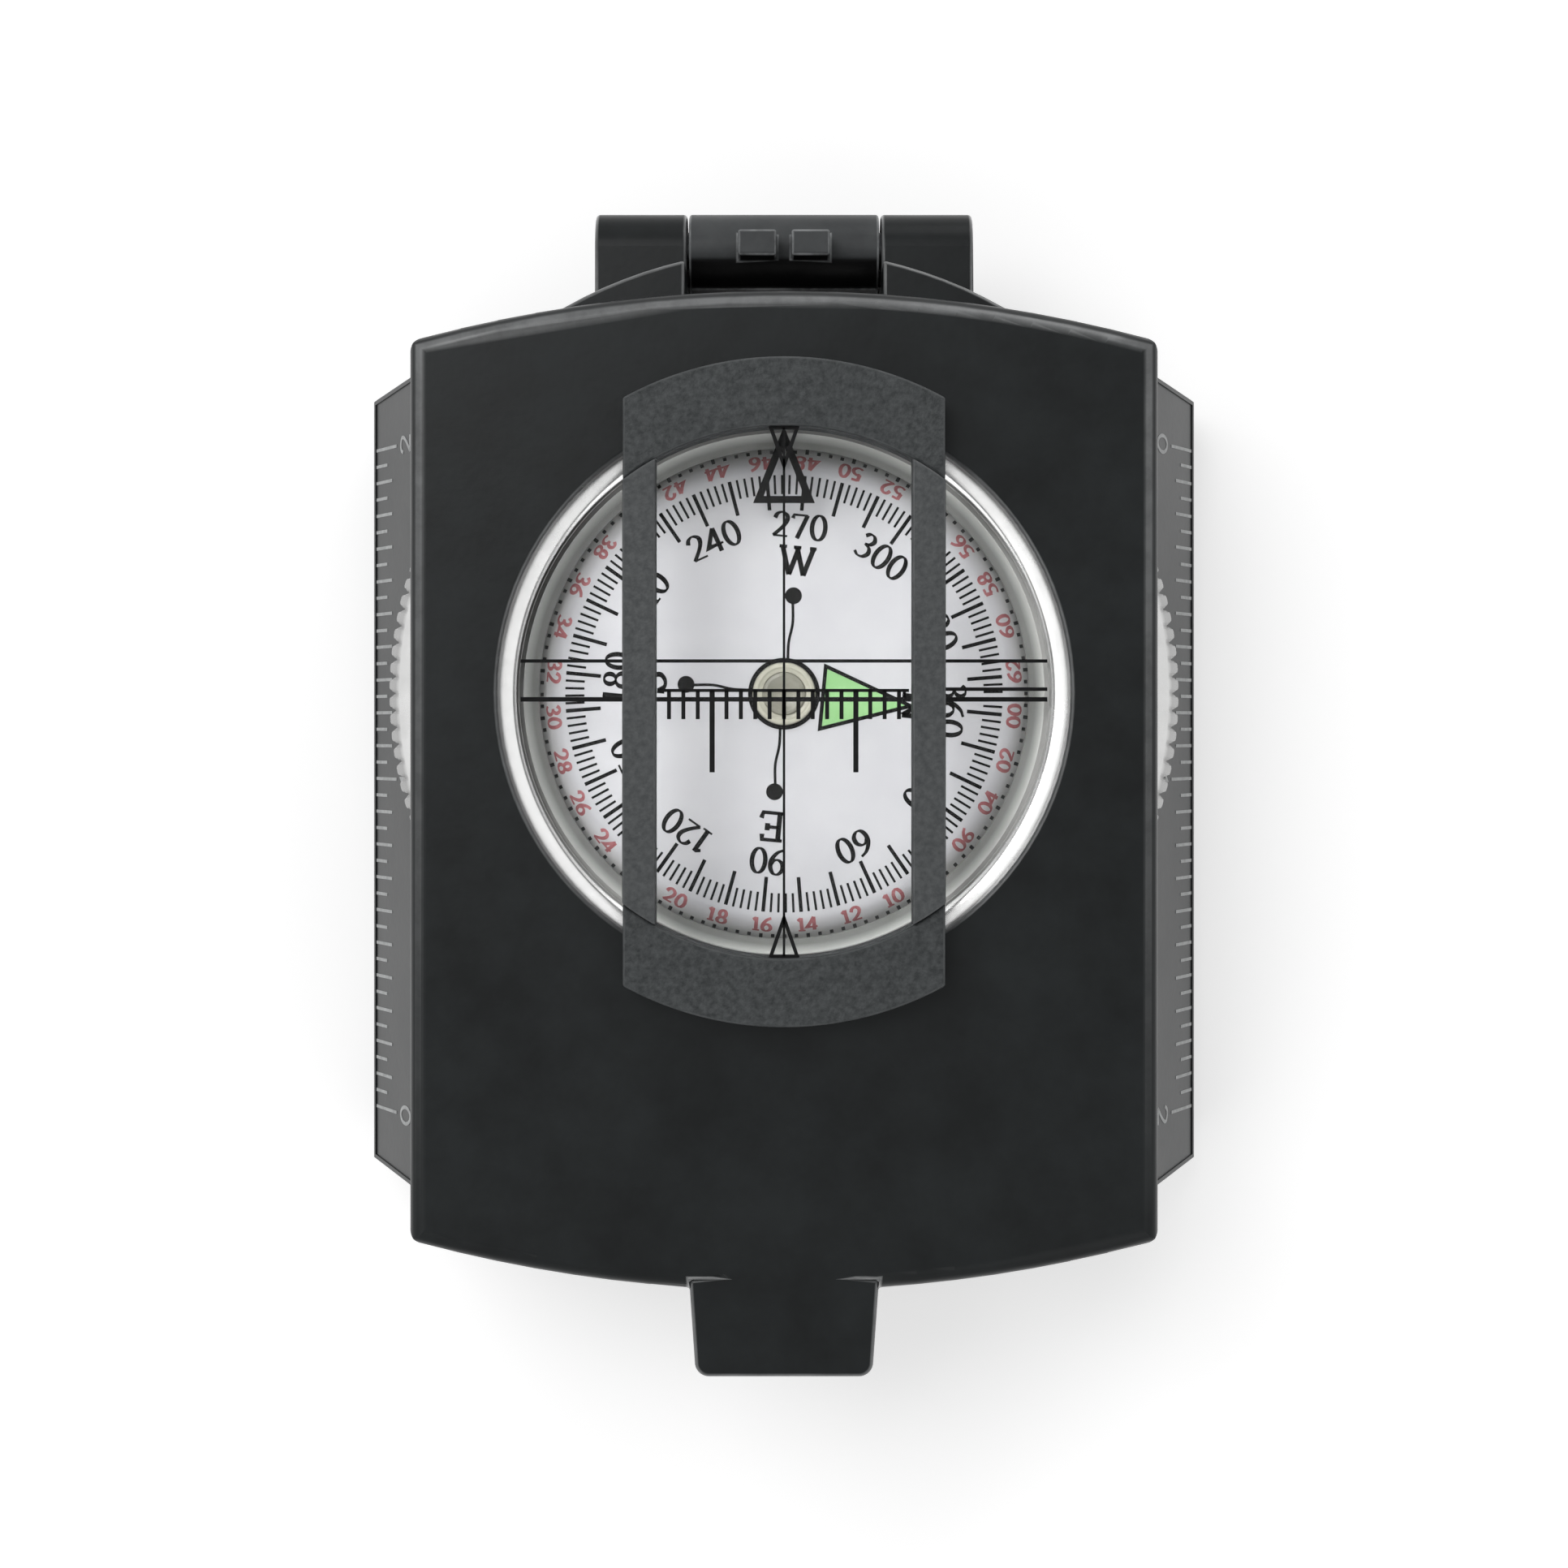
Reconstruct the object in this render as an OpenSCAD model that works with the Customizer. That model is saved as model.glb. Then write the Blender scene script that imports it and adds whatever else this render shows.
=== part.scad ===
// Sighting compass in a folding metal case, closed.
// X runs to the right, Y towards the hinge, Z up through the dial's axis.
// The origin is on the bottom cover's outer face, on the dial's axis.

/* [Case] */
// Width of the lid and of the base where they meet
case_w = 53; // [51:0.5:55]
// Distance from the dial's axis to the hinge end, on the centre line
hinge_end = 28.5; // [28.1:0.1:29]
// Distance from the dial's axis to the lid's far end, on the centre line
lid_end = 42.4; // [41:0.2:46]
// How far the base reaches past the lid at the eyepiece end
base_step = 0.3; // [0.1:0.1:0.6]
// Radius of the two bowed ends
bow_r = 100; // [85:5:140]
// Radius of the upright corners
corner_r = 1.5; // [0.8:0.1:2.2]
// Height of the plane where lid and base meet
split_z = 13.9; // [13.7:0.1:14.6]
// Gap between the lid and the base when the lid is shut
split_gap = 0.1; // [0.05:0.05:0.2]
// Thickness of the upright walls of the lid and of the base
wall = 1.8; // [1.4:0.1:2]

/* [Lid] */
// Height of the lid above the split
lid_h = 11.6; // [11.4:0.1:13]
// Thickness of the lid's top
lid_top_t = 2.4; // [1.8:0.1:2.6]
// Rounding of the lid's upper edge
lid_edge = 1.3; // [0.6:0.1:1.6]
// Radius of the round window
window_r = 20.25; // [19.5:0.05:20.6]
// Length of the slots that the knurled ring shows through
slot_l = 34.2; // [30:0.2:38]
// Height of the slots above the split
slot_h = 7.1; // [6.8:0.1:8]
// Width of the thumb tab at its root
tab_root_w = 13.4; // [10:0.2:18]
// Width of the thumb tab at its end
tab_end_w = 12.6; // [9:0.2:13]
// Length of the thumb tab
tab_l = 5.9; // [4:0.1:8]
// Thickness of the thumb tab
tab_t = 2.7; // [2:0.1:3.2]
// Radius of the corners at the tab's end
tab_corner = 1; // [0.5:0.1:2]

/* [Hinge] */
// Distance from the case's hinge end to the hinge pin
hinge_gap = 4.4; // [4.3:0.1:5.1]
// Outer radius of the hinge knuckles
knuckle_r = 2.7; // [2.4:0.1:2.9]
// Width of the middle knuckle and of the hinge block
block_w = 14; // [12:0.2:14.4]
// Width over the two outer knuckles
hinge_w = 27.8; // [24:0.2:30]
// Side gap between knuckles
knuckle_gap = 0.15; // [0.1:0.05:0.3]
// Radius of the hinge pin
pin_r = 1.4; // [1:0.1:1.6]
// Clearance of a pin in a hole that turns on it, on the radius
pin_clear = 0.05; // [0.02:0.01:0.09]
// How far the hinge block reaches past the hinge pin
block_reach = 2.6; // [2:0.1:3]
// Height of the hinge block's lower face
block_z = 0.7; // [0.6:0.1:2]
// Height of the two sight posts above the split
post_h = 5.1; // [4:0.1:5.6]
// Width of each sight post
post_w = 2.8; // [2:0.1:3.2]
// Thickness of the sight posts along the compass
post_t = 1.9; // [1.2:0.1:2.2]
// Width of the sighting slot between the posts
post_gap = 1.1; // [0.6:0.1:2]

/* [Base] */
// Thickness of the bottom cover
cover_t = 1.9; // [1.5:0.1:2.2]
// Chamfer round the bottom cover
cover_chamfer = 1.4; // [0.5:0.1:1.4]
// Thickness of the base's deck
deck_t = 2; // [1.5:0.1:2.4]
// How far the ruler ribs stand out at their widest
rib_out = 5.3; // [4:0.1:6]
// Height of the widest line of the ruler ribs
rib_z = 3.4; // [2.8:0.1:4.5]
// How far the ribs are drawn in again at the top of the bottom cover
rib_tuck = 0.6; // [0.2:0.1:1]
// End of the ribs towards the hinge
rib_hinge_end = 24.4; // [20:0.2:24.6]
// End of the ribs towards the eyepiece
rib_eye_end = 37.4; // [34:0.2:38]
// How far the ribs' ends slope back
rib_slope = 1.4; // [0.5:0.1:3]
// Thickness of the ledge below the lid's bulge
ledge_t = 1.9; // [1:0.1:1.9]

/* [Bezel ring] */
// Radius over the knurl
ring_r = 28.7; // [28.4:0.1:28.9]
// Depth of the knurl
knurl_d = 0.45; // [0.3:0.05:0.6]
// Number of knurl teeth
knurl_n = 144; // [90:1:160]
// Height of the lower edge of the knurl above the split
knurl_low = 0.9; // [0.7:0.1:1.2]
// Height of the knurled band
knurl_h = 4.3; // [3.8:0.1:4.5]
// Height of the ring's top above the split
ring_h = 8.2; // [8.1:0.05:8.4]
// Inner radius of the polished rim
rim_r = 19.2; // [18.8:0.1:19.3]
// Clearance between the ring and the inside of the lid
ring_clear = 0.6; // [0.4:0.1:0.8]
// Wall of the lid's bulge round the ring
bulge_wall = 2.7; // [2:0.1:2.8]

/* [Capsule and dial] */
// Outer radius of the collar that the bezel ring turns on
collar_r = 22.1; // [21.8:0.1:22.4]
// Outer radius of the capsule
capsule_r = 19.7; // [19.5:0.1:19.9]
// Wall of the capsule
capsule_wall = 0.7; // [0.5:0.1:0.8]
// Height of the capsule's underside
capsule_z = 6.3; // [5.5:0.1:6.5]
// Thickness of the crystal
crystal_t = 1; // [0.8:0.1:1]
// Thickness of the capsule gasket
gasket_t = 0.3; // [0.2:0.05:0.4]
// Radius of the flat of the dial card
card_r = 16.7; // [15.5:0.1:17]
// Radius of the lower edge of the dial's sloping rim
skirt_r = 18.4; // [17.6:0.1:18.6]
// Thickness of the dial card
card_t = 0.5; // [0.4:0.05:0.7]
// Height of the dial card's face above the split
card_z = 3.4; // [3.2:0.1:3.6]
// Height of the sloping rim
skirt_h = 8.2; // [5:0.1:8.4]
// Length of the dial magnet
magnet_l = 22; // [16:0.5:26]
// Width of the dial magnet
magnet_w = 6.4; // [5.6:0.1:8]
// Thickness of the dial magnet
magnet_t = 1.6; // [1:0.1:2]
// Radius of the boss in the dial's centre
hub_r = 2.3; // [2.2:0.1:2.5]
// Radius of the jewel cup
jewel_r = 1.65; // [1.4:0.05:1.8]

/* [Sight frame] */
// Outer radius of the frame's bowed ends
frame_r = 23.3; // [22.8:0.1:24.5]
// Inner radius of the frame's ends
frame_bore = 18.5; // [17:0.1:18.8]
// Width of the frame
frame_w = 22.4; // [18:0.2:24]
// Height of the end blocks
frame_h = 3.5; // [3.2:0.1:4.5]
// Width of each rail
rail_w = 2.3; // [1.8:0.1:3]
// Gap between the lid and the lower rails
rail_gap = 1.5; // [1:0.1:1.7]
// Height of the lower rails' top above the lid
rail_mid = 2.9; // [2.6:0.1:3]
// Height of the upper rails
rail_t = 1.3; // [0.8:0.1:1.6]
// Thickness of the sight glass
glass_t = 0.6; // [0.4:0.1:0.8]

/* [Eyepiece] */
// Height of the eyepiece's axis
eye_z = 9.7; // [9.4:0.1:9.9]
// Radius over the focusing ring's ridges
focus_r = 6.7; // [6.6:0.1:7]
// Number of ridges on the focusing ring
focus_n = 38; // [24:1:48]
// Depth of the ridges
focus_d = 0.4; // [0.2:0.05:0.45]
// Length of the focusing ring
focus_l = 5.3; // [5.2:0.1:6]
// Outer radius of the tube that the ring turns on
tube_r = 5.2; // [5.1:0.1:5.4]
// Outer radius of the lens barrel
barrel_r = 4.35; // [4.2:0.05:4.4]
// Length of the lens barrel
barrel_l = 1.8; // [1.6:0.1:2]
// Travel of the lens barrel each way
barrel_travel = 0.6; // [0.3:0.1:0.6]

/* [Thumb loop] */
// How far the loop's pins lie back from the hinge pin
loop_back = 0.5; // [0:0.1:0.7]
// Height of the loop's pins
loop_z = 4.7; // [4.4:0.1:5.2]
// Width of the loop's wire, seen from below
loop_w = 2.8; // [2:0.1:3.2]
// Thickness of the loop under the base
loop_t = 1.9; // [1.4:0.1:2.2]
// Half the width of the loop's arms, seen from the side
arm_r = 1.8; // [1.6:0.1:2]
// End of the loop under the base
loop_tip = 12.1; // [9:0.2:14]
// Angle at which the folded loop hangs off the cover
loop_hang = 2.4; // [1:0.2:3]
// Depth of the recess in the cover that the loop folds into
recess_d = 0.6; // [0.5:0.05:0.8]
// Radius of the loop's pins
loop_pin_r = 0.9; // [0.7:0.05:1]
// Radius of the round heads of the loop's pins
loop_head_r = 1.5; // [1.2:0.1:1.8]

/* [Fasteners and tripod bush] */
// Radius of the small screws of the bottom cover
screw_r = 0.8; // [0.6:0.05:1]
// Radius of the small screws' heads
screw_head_r = 1.6; // [1.4:0.1:1.8]
// Clearance between pieces that are fixed to each other, on the radius
fixed_clear = 0.05; // [0.02:0.01:0.1]
// Distance from the dial's axis to the tripod bush
bush_y = 30; // [29:0.2:31]
// Outer radius of the tripod bush
bush_r = 4.6; // [4.2:0.1:5]
// Bore of the tripod bush, for a quarter-inch camera screw
bush_bore = 2.55; // [2.5:0.05:3.2]
// Height of the tripod bush
bush_h = 6; // [5.6:0.1:6]

/* [Hidden] */
$fn = 72;
big_fn = 360;
reach = 200;
over = 1;
corner_lift = 0.03;
corner_reach = 4 * corner_r;
half_w = case_w / 2;
base_end = lid_end + base_step;
hinge_y = hinge_end + hinge_gap;
base_top = split_z - split_gap / 2;
lid_low = split_z + split_gap / 2;
lid_top = split_z + lid_h;
lid_roof = lid_top - lid_top_t;
deck_low = base_top - deck_t;
cavity_r = ring_r + ring_clear;
bulge_r = cavity_r + bulge_wall;
bulge_inset = 5;
bulge_top = split_z + slot_h;
knurl_z = split_z + knurl_low;
knurl_top = knurl_z + knurl_h;
root_r = ring_r - knurl_d;
ring_gap = 0.3;
ring_low = base_top + ring_gap;
ring_top = split_z + ring_h;
rim_t = 0.4;
bezel_glass_t = 0.8;
clip_ring_t = 0.4;
bezel_glass_z = ring_top - rim_t - bezel_glass_t;
clip_ring_z = bezel_glass_z - clip_ring_t;
bezel_glass_r = rim_r + 0.65;
seat_r = bezel_glass_r + fixed_clear;
collar_bore = capsule_r + 0.1;
collar_top = clip_ring_z - 0.4;
crystal_z = collar_top - crystal_t;
gasket_z = crystal_z - gasket_t;
capsule_bore = capsule_r - capsule_wall;
capsule_floor = 1;
stand_r = capsule_r - 4.7;
stand_wall = 1.6;
flange_r = capsule_r + 1.7;
flange_t = 1.5;
ring_bore = collar_r + pin_clear;
clip_z = base_top + 3.2;
clip_t = 0.5;
clip_depth = 0.4;
card_top = split_z + card_z;
card_low = card_top - card_t;
hub_top = card_top + 0.7;
jewel_low = card_low - 1.5;
jewel_top = hub_top + 0.2;
post_tip = jewel_low + 0.8;
post_base = capsule_z + capsule_floor;
post_r = 1;
post_cone = 2.5;
frame_top = lid_top + frame_h;
rail_low_z = lid_top + rail_gap;
rail_mid_z = lid_top + rail_mid;
glass_z = rail_mid_z - glass_t;
glass_r = frame_bore + 0.8;
glass_half_w = frame_w / 2 - 1;
rail_end_r = frame_bore - fixed_clear;
frame_screw_r = 0.7;
frame_screw_head = 1.3;
frame_screw_x = frame_w / 2 - 3.7;
frame_screw_y = sqrt(pow((window_r + frame_r) / 2 + 0.4, 2) - pow(frame_screw_x, 2));
block_end = hinge_y + block_reach;
block_screw_x = block_w / 2 - 3;
block_screw_z = (block_z + base_top) / 2;
block_screw_r = 1;
block_screw_depth = 3.5;
block_head_r = 1.7;
block_head_t = 1.4;
cover_screw_x = half_w - wall - 3.4;
cover_screw_hinge_y = rib_hinge_end - 2.9;
cover_screw_eye_y = rib_eye_end - 2.8;
boss_r = 2.4;
screw_depth = 5.6;
flange_eye_r = 6;
flange_eye_t = 0.8;
focus_y = base_end + 0.3;
focus_end = focus_y + focus_l;
flange_end = base_end + flange_eye_t;
tube_bore = barrel_r + pin_clear;
focus_lip = 1.3;
focus_lip_y = focus_end - focus_lip;
tube_end = focus_lip_y - 0.4;
neck_r = 3.6;
neck_bore = 2.9;
aperture_r = 4;
barrel_y = flange_end + barrel_travel + 0.3;
lens_r = barrel_r - 0.45;
lens_t = 0.8;
lens_ball_r = 16;
loop_y = hinge_y - loop_back;
loop_side = block_w / 2 + 0.3;
loop_half = loop_side + loop_w;
leg_top = recess_d - 0.25;
leg_low = leg_top - loop_t;
loop_hole_r = loop_pin_r + pin_clear;
recess_half = loop_half + 0.7;
recess_tip = loop_tip - 0.8;

// Block between two bowed ends, with upright rounded corners.
// top_edge rounds its upper edge, low_edge chamfers its lower one.
module case_block(hinge_side, eye_side, hw, z0, z1, top_edge = 0, low_edge = 0) {
    difference() {
        intersection() {
            translate([0, hinge_side - bow_r, 0]) bow_disc(z0, z1, top_edge, low_edge);
            translate([0, bow_r - eye_side, 0]) bow_disc(z0, z1, top_edge, low_edge);
            side_prism(hw, hinge_side, eye_side, z0, z1, top_edge, low_edge);
        }
        for (side = [0, 1]) {
            mirror([side, 0, 0]) corner_cut(hinge_side, hw, z0, z1);
            mirror([side, 0, 0]) mirror([0, 1, 0]) corner_cut(eye_side, hw, z0, z1);
        }
    }
}

// Right-hand edge of a plate that reaches out to distance d, from below upwards
function edge_points(d, z0, z1, top_edge, low_edge) = concat(
    low_edge > 0 ? [[d - low_edge, z0], [d, z0 + low_edge]] : [[d, z0]],
    top_edge > 0 ? [[d, z1 - top_edge], [d - top_edge, z1]] : [[d, z1]]);

module round_edge(d, z1, top_edge) {
    if (top_edge > 0) {
        translate([d - top_edge, z1 - top_edge]) circle(top_edge);
    }
}

// Disc whose rim is one bowed end
module bow_disc(z0, z1, top_edge, low_edge) {
    rotate_extrude($fn = big_fn) {
        polygon(concat([[0, z1], [0, z0]], edge_points(bow_r, z0, z1, top_edge, low_edge)));
        round_edge(bow_r, z1, top_edge);
    }
}

// Plate with straight sides, longer than the case
module side_prism(hw, hinge_side, eye_side, z0, z1, top_edge, low_edge) {
    right = edge_points(hw, z0, z1, top_edge, low_edge);
    left = [for (i = [len(right) - 1 : -1 : 0]) [-right[i][0], right[i][1]]];
    translate([0, hinge_side + over, 0]) rotate([90, 0, 0])
        linear_extrude(hinge_side + eye_side + 2 * over) {
            polygon(concat(right, left));
            round_edge(hw, z1, top_edge);
            mirror([1, 0]) round_edge(hw, z1, top_edge);
        }
}

// Takes off one upright corner outside its radius
module corner_cut(end, hw, z0, z1) {
    cx = hw - corner_r;
    centre = end - bow_r;
    cy = centre + sqrt(pow(bow_r - corner_r, 2) - pow(cx, 2));
    ux = cx / (bow_r - corner_r);
    uy = (cy - centre) / (bow_r - corner_r);
    translate([0, 0, z0 - over]) linear_extrude(z1 - z0 + 2 * over) difference() {
        polygon([[cx, cy], [cx + corner_reach, cy], [cx + corner_reach, cy + corner_reach],
            [cx + corner_reach * ux, cy + corner_reach * uy]]);
        translate([cx + corner_lift, cy + corner_lift]) circle(corner_r);
    }
}

// Solid inside of a shell: the plan drawn in by the wall
module hollow(hinge_side, eye_side, z0, z1) {
    intersection() {
        translate([0, hinge_side - bow_r, z0]) cylinder(r = bow_r - wall, h = z1 - z0, $fn = big_fn);
        translate([0, bow_r - eye_side, z0]) cylinder(r = bow_r - wall, h = z1 - z0, $fn = big_fn);
        translate([wall - half_w, -eye_side, z0])
            cube([2 * (half_w - wall), eye_side + hinge_side, z1 - z0]);
    }
}

// Both ruler ribs between the heights z0 and z1
module ribs(z0, z1) {
    out = half_w + rib_out;
    tuck = out - rib_tuck;
    root = half_w - cover_chamfer - 0.2;
    for (side = [0, 1]) {
        mirror([side, 0, 0]) intersection() {
            translate([0, rib_hinge_end, 0]) rotate([90, 0, 0])
                linear_extrude(rib_hinge_end + rib_eye_end)
                    polygon([[root, 0], [tuck - cover_chamfer, 0], [tuck, cover_t], [out, rib_z],
                        [half_w + 0.2, base_top], [root, base_top]]);
            translate([0, 0, z0]) linear_extrude(z1 - z0)
                polygon([[root, rib_hinge_end], [half_w, rib_hinge_end],
                    [out, rib_hinge_end - rib_slope], [out, rib_slope - rib_eye_end],
                    [half_w, -rib_eye_end], [root, -rib_eye_end]]);
        }
    }
}

// Cylinder along X between x0 and x1, through the point y, z
module x_rod(r, x0, x1, y, z) {
    translate([x0, y, z]) rotate([0, 90, 0]) cylinder(r = r, h = x1 - x0);
}

// Cylinder along -Y from distance y0 to distance y1, on the eyepiece's axis
module eye_rod(r, y0, y1) {
    translate([0, -y0, eye_z]) rotate([90, 0, 0]) cylinder(r = r, h = y1 - y0);
}

// Disc with n V-shaped teeth between the root and the crest
module toothed(crest, depth, n, h) {
    linear_extrude(h) polygon([for (i = [0 : 2 * n - 1])
        let (a = i * 180 / n, r = i % 2 == 0 ? crest : crest - depth)
        [r * cos(a), r * sin(a)]]);
}

module cover_screw_places() {
    for (x = [-cover_screw_x, cover_screw_x]) {
        translate([x, cover_screw_hinge_y, 0]) children();
        translate([x, -cover_screw_eye_y, 0]) children();
    }
}

module sight_screw_places() {
    for (x = [-frame_screw_x, frame_screw_x], y = [-frame_screw_y, frame_screw_y]) {
        translate([x, y, 0]) children();
    }
}

module block_screw_places() {
    for (x = [-block_screw_x, block_screw_x]) {
        translate([x, 0, block_screw_z]) children();
    }
}

// Part of a round disc that stands out past the bowed hinge end
module bulge(z0, z1) {
    half = half_w - bulge_inset;
    intersection() {
        translate([0, 0, z0]) cylinder(r = bulge_r, h = z1 - z0, $fn = 180);
        translate([-half, hinge_end / 2, z0 - over]) cube([2 * half, reach, z1 - z0 + 2 * over]);
    }
}

// Ledge that closes the lid's bulge from below
module hinge_ledge() {
    difference() {
        bulge(base_top - ledge_t, base_top);
        translate([-block_w / 2 - fixed_clear, 0, 0]) cube([block_w + 2 * fixed_clear, reach, reach]);
        x_rod(knuckle_r + 0.3, -hinge_w / 2 - 0.3, hinge_w / 2 + 0.3, hinge_y, split_z);
    }
}

module base_body() color("#2b2f31") difference() {
    union() {
        difference() {
            union() {
                case_block(hinge_end, base_end, half_w, cover_t, base_top);
                ribs(cover_t, base_top);
                hinge_ledge();
            }
            hollow(hinge_end, base_end, cover_t - over, deck_low);
        }
        translate([0, 0, deck_low]) cylinder(r = collar_r, h = collar_top - deck_low, $fn = 180);
        cover_screw_places() translate([0, 0, cover_t]) cylinder(r = boss_r, h = deck_low - cover_t + 0.5);
    }
    translate([0, 0, deck_low - over]) cylinder(r = collar_bore, h = reach, $fn = 180);
    translate([0, 0, clip_z]) difference() {
        cylinder(r = collar_r + over, h = clip_t + 2 * fixed_clear, $fn = 180);
        translate([0, 0, -over]) cylinder(r = collar_r - clip_depth - fixed_clear, h = reach, $fn = 180);
    }
    cover_screw_places() translate([0, 0, cover_t - over])
        cylinder(r = screw_r + fixed_clear, h = screw_depth + over);
    eye_rod(neck_r + fixed_clear, base_end - 2 * wall, base_end + over);
    block_screw_places() translate([0, hinge_end - 2 * wall, 0]) rotate([-90, 0, 0])
        cylinder(r = block_screw_r + fixed_clear, h = 3 * wall);
}

module bottom_cover() color("#232627") difference() {
    union() {
        case_block(hinge_end, base_end, half_w, 0, cover_t, 0, cover_chamfer);
        ribs(0, cover_t);
        difference() {
            cylinder(r = stand_r, h = capsule_z);
            translate([0, 0, cover_t]) cylinder(r = stand_r - stand_wall, h = reach);
        }
    }
    translate([-recess_half, recess_tip, -over]) cube([2 * recess_half, reach, recess_d + over]);
    cover_screw_places() screw_hole();
    translate([0, -bush_y, -over]) cylinder(r = bush_r + fixed_clear, h = reach);
}

module screw_hole() {
    translate([0, 0, -over]) cylinder(r = screw_r + 2 * fixed_clear, h = reach);
    translate([0, 0, -0.01]) cylinder(r1 = screw_head_r + fixed_clear, r2 = screw_r + fixed_clear, h = 0.9);
}

module cover_screws() color("#9a9da0") cover_screw_places() difference() {
    union() {
        cylinder(r = screw_r, h = cover_t + screw_depth - 0.4);
        cylinder(r1 = screw_head_r, r2 = screw_r, h = 0.85);
    }
    translate([-reach / 2, -0.2, -over]) cube([reach, 0.4, over + 0.4]);
}

module tripod_bush() color("#b9a46a") translate([0, -bush_y, 0]) difference() {
    union() {
        cylinder(r = bush_r, h = bush_h);
        translate([0, 0, cover_t]) cylinder(r = bush_r + 1, h = 0.8);
    }
    translate([0, 0, -over]) cylinder(r = bush_bore, h = bush_h - 0.8 + over);
}

module hinge_block() color("#34383a") difference() {
    union() {
        difference() {
            translate([-block_w / 2, hinge_end - 2, block_z])
                cube([block_w, block_end - hinge_end + 2, base_top - block_z]);
            translate([0, hinge_end - bow_r, -over]) cylinder(r = bow_r, h = reach, $fn = big_fn);
        }
        x_rod(knuckle_r, -block_w / 2, block_w / 2, hinge_y, split_z);
        for (x = [post_gap / 2, -post_gap / 2 - post_w]) {
            translate([x, hinge_y - post_t / 2 - 0.1, split_z]) cube([post_w, post_t, post_h]);
        }
    }
    x_rod(pin_r + fixed_clear, -block_w, block_w, hinge_y, split_z);
    for (side = [0, 1]) {
        mirror([side, 0, 0]) x_rod(loop_hole_r, block_w / 2 - 2.5, block_w, loop_y, loop_z);
    }
    block_screw_places() translate([0, hinge_end - over, 0]) rotate([-90, 0, 0])
        cylinder(r = block_screw_r + fixed_clear, h = block_screw_depth + over);
}

module block_screws() color("#9a9da0") {
    y0 = hinge_end - wall - block_head_t - 0.2;
    length = hinge_end + block_screw_depth - 0.6 - y0;
    block_screw_places() translate([0, y0, 0]) rotate([-90, 0, 0]) {
        cylinder(r = block_head_r, h = block_head_t);
        cylinder(r = block_screw_r, h = length);
    }
}

module hinge_pin() color("#55595c")
    x_rod(pin_r, -hinge_w / 2 - 0.1, hinge_w / 2 + 0.1, hinge_y, split_z);

module lid_shell() color("#2b2f31") difference() {
    union() {
        case_block(hinge_end, lid_end, half_w, lid_low, lid_top, lid_edge);
        bulge(lid_low, bulge_top);
        for (side = [0, 1]) {
            mirror([side, 0, 0]) knuckle();
        }
        thumb_tab();
    }
    hollow(hinge_end, lid_end, lid_low - over, lid_roof);
    translate([0, 0, lid_low - over])
        cylinder(r = cavity_r, h = knurl_top + 1.1 - lid_low + over, $fn = 180);
    cylinder(r = window_r, h = reach, $fn = 180);
    translate([-reach / 2, -slot_l / 2, lid_low - over])
        cube([reach, slot_l, bulge_top - lid_low + over]);
    translate([-block_w / 2 - knuckle_gap, hinge_end / 2, lid_low - over])
        cube([block_w + 2 * knuckle_gap, reach, bulge_top - lid_low + over]);
    x_rod(pin_r + pin_clear, -hinge_w, hinge_w, hinge_y, split_z);
    sight_screw_places() {
        cylinder(r = frame_screw_r + 2 * fixed_clear, h = reach);
        translate([0, 0, lid_roof - over]) cylinder(r = frame_screw_head + fixed_clear, h = over + 0.8);
    }
}

// One outer knuckle with the plate that joins it to the lid
module knuckle() {
    x0 = block_w / 2 + knuckle_gap;
    x_rod(knuckle_r, x0, hinge_w / 2, hinge_y, split_z);
    translate([x0, cavity_r - 1.5, lid_low])
        cube([hinge_w / 2 - x0, hinge_y - cavity_r + 1.5, split_z + knuckle_r - lid_low]);
}

module thumb_tab() {
    y0 = lid_end - 1;
    y1 = lid_end + tab_l;
    r = tab_corner;
    translate([0, 0, lid_top - tab_t]) linear_extrude(tab_t - 0.05) {
        polygon([[tab_root_w / 2, -y0], [-tab_root_w / 2, -y0], [-tab_end_w / 2, r - y1],
            [r - tab_end_w / 2, -y1], [tab_end_w / 2 - r, -y1], [tab_end_w / 2, r - y1]]);
        for (side = [-1, 1]) {
            translate([side * (tab_end_w / 2 - r), r - y1]) circle(r);
        }
    }
}

// Bowed frame shape between two radii, as wide as the frame
module frame_arc(r_in, r_out, half, z0, z1) {
    intersection() {
        difference() {
            translate([0, 0, z0]) cylinder(r = r_out, h = z1 - z0, $fn = 180);
            translate([0, 0, z0 - over]) cylinder(r = r_in, h = reach, $fn = 180);
        }
        translate([-half, -reach / 2, z0 - over]) cube([2 * half, reach, reach]);
    }
}

module sight_frame() color("#4a4f50") difference() {
    union() {
        frame_arc(frame_bore, frame_r, frame_w / 2, lid_top, frame_top);
        for (x = [-frame_w / 2, frame_w / 2 - rail_w]) {
            translate([x, -frame_bore, rail_low_z]) cube([rail_w, 2 * frame_bore, rail_mid_z - rail_low_z]);
        }
    }
    intersection() {
        translate([0, 0, glass_z - fixed_clear]) cylinder(r = glass_r + fixed_clear, h = reach, $fn = 180);
        translate([-glass_half_w - fixed_clear, -reach / 2, 0])
            cube([2 * (glass_half_w + fixed_clear), reach, rail_mid_z + 0.01]);
    }
    sight_screw_places() translate([0, 0, lid_top - over])
        cylinder(r = frame_screw_r + fixed_clear, h = frame_h - 0.9 + over);
}

module sight_glass() color("#cfe3e6", 0.4) intersection() {
    translate([0, 0, glass_z]) cylinder(r = glass_r, h = glass_t, $fn = 180);
    translate([-glass_half_w, -reach / 2, 0]) cube([2 * glass_half_w, reach, reach]);
}

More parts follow.
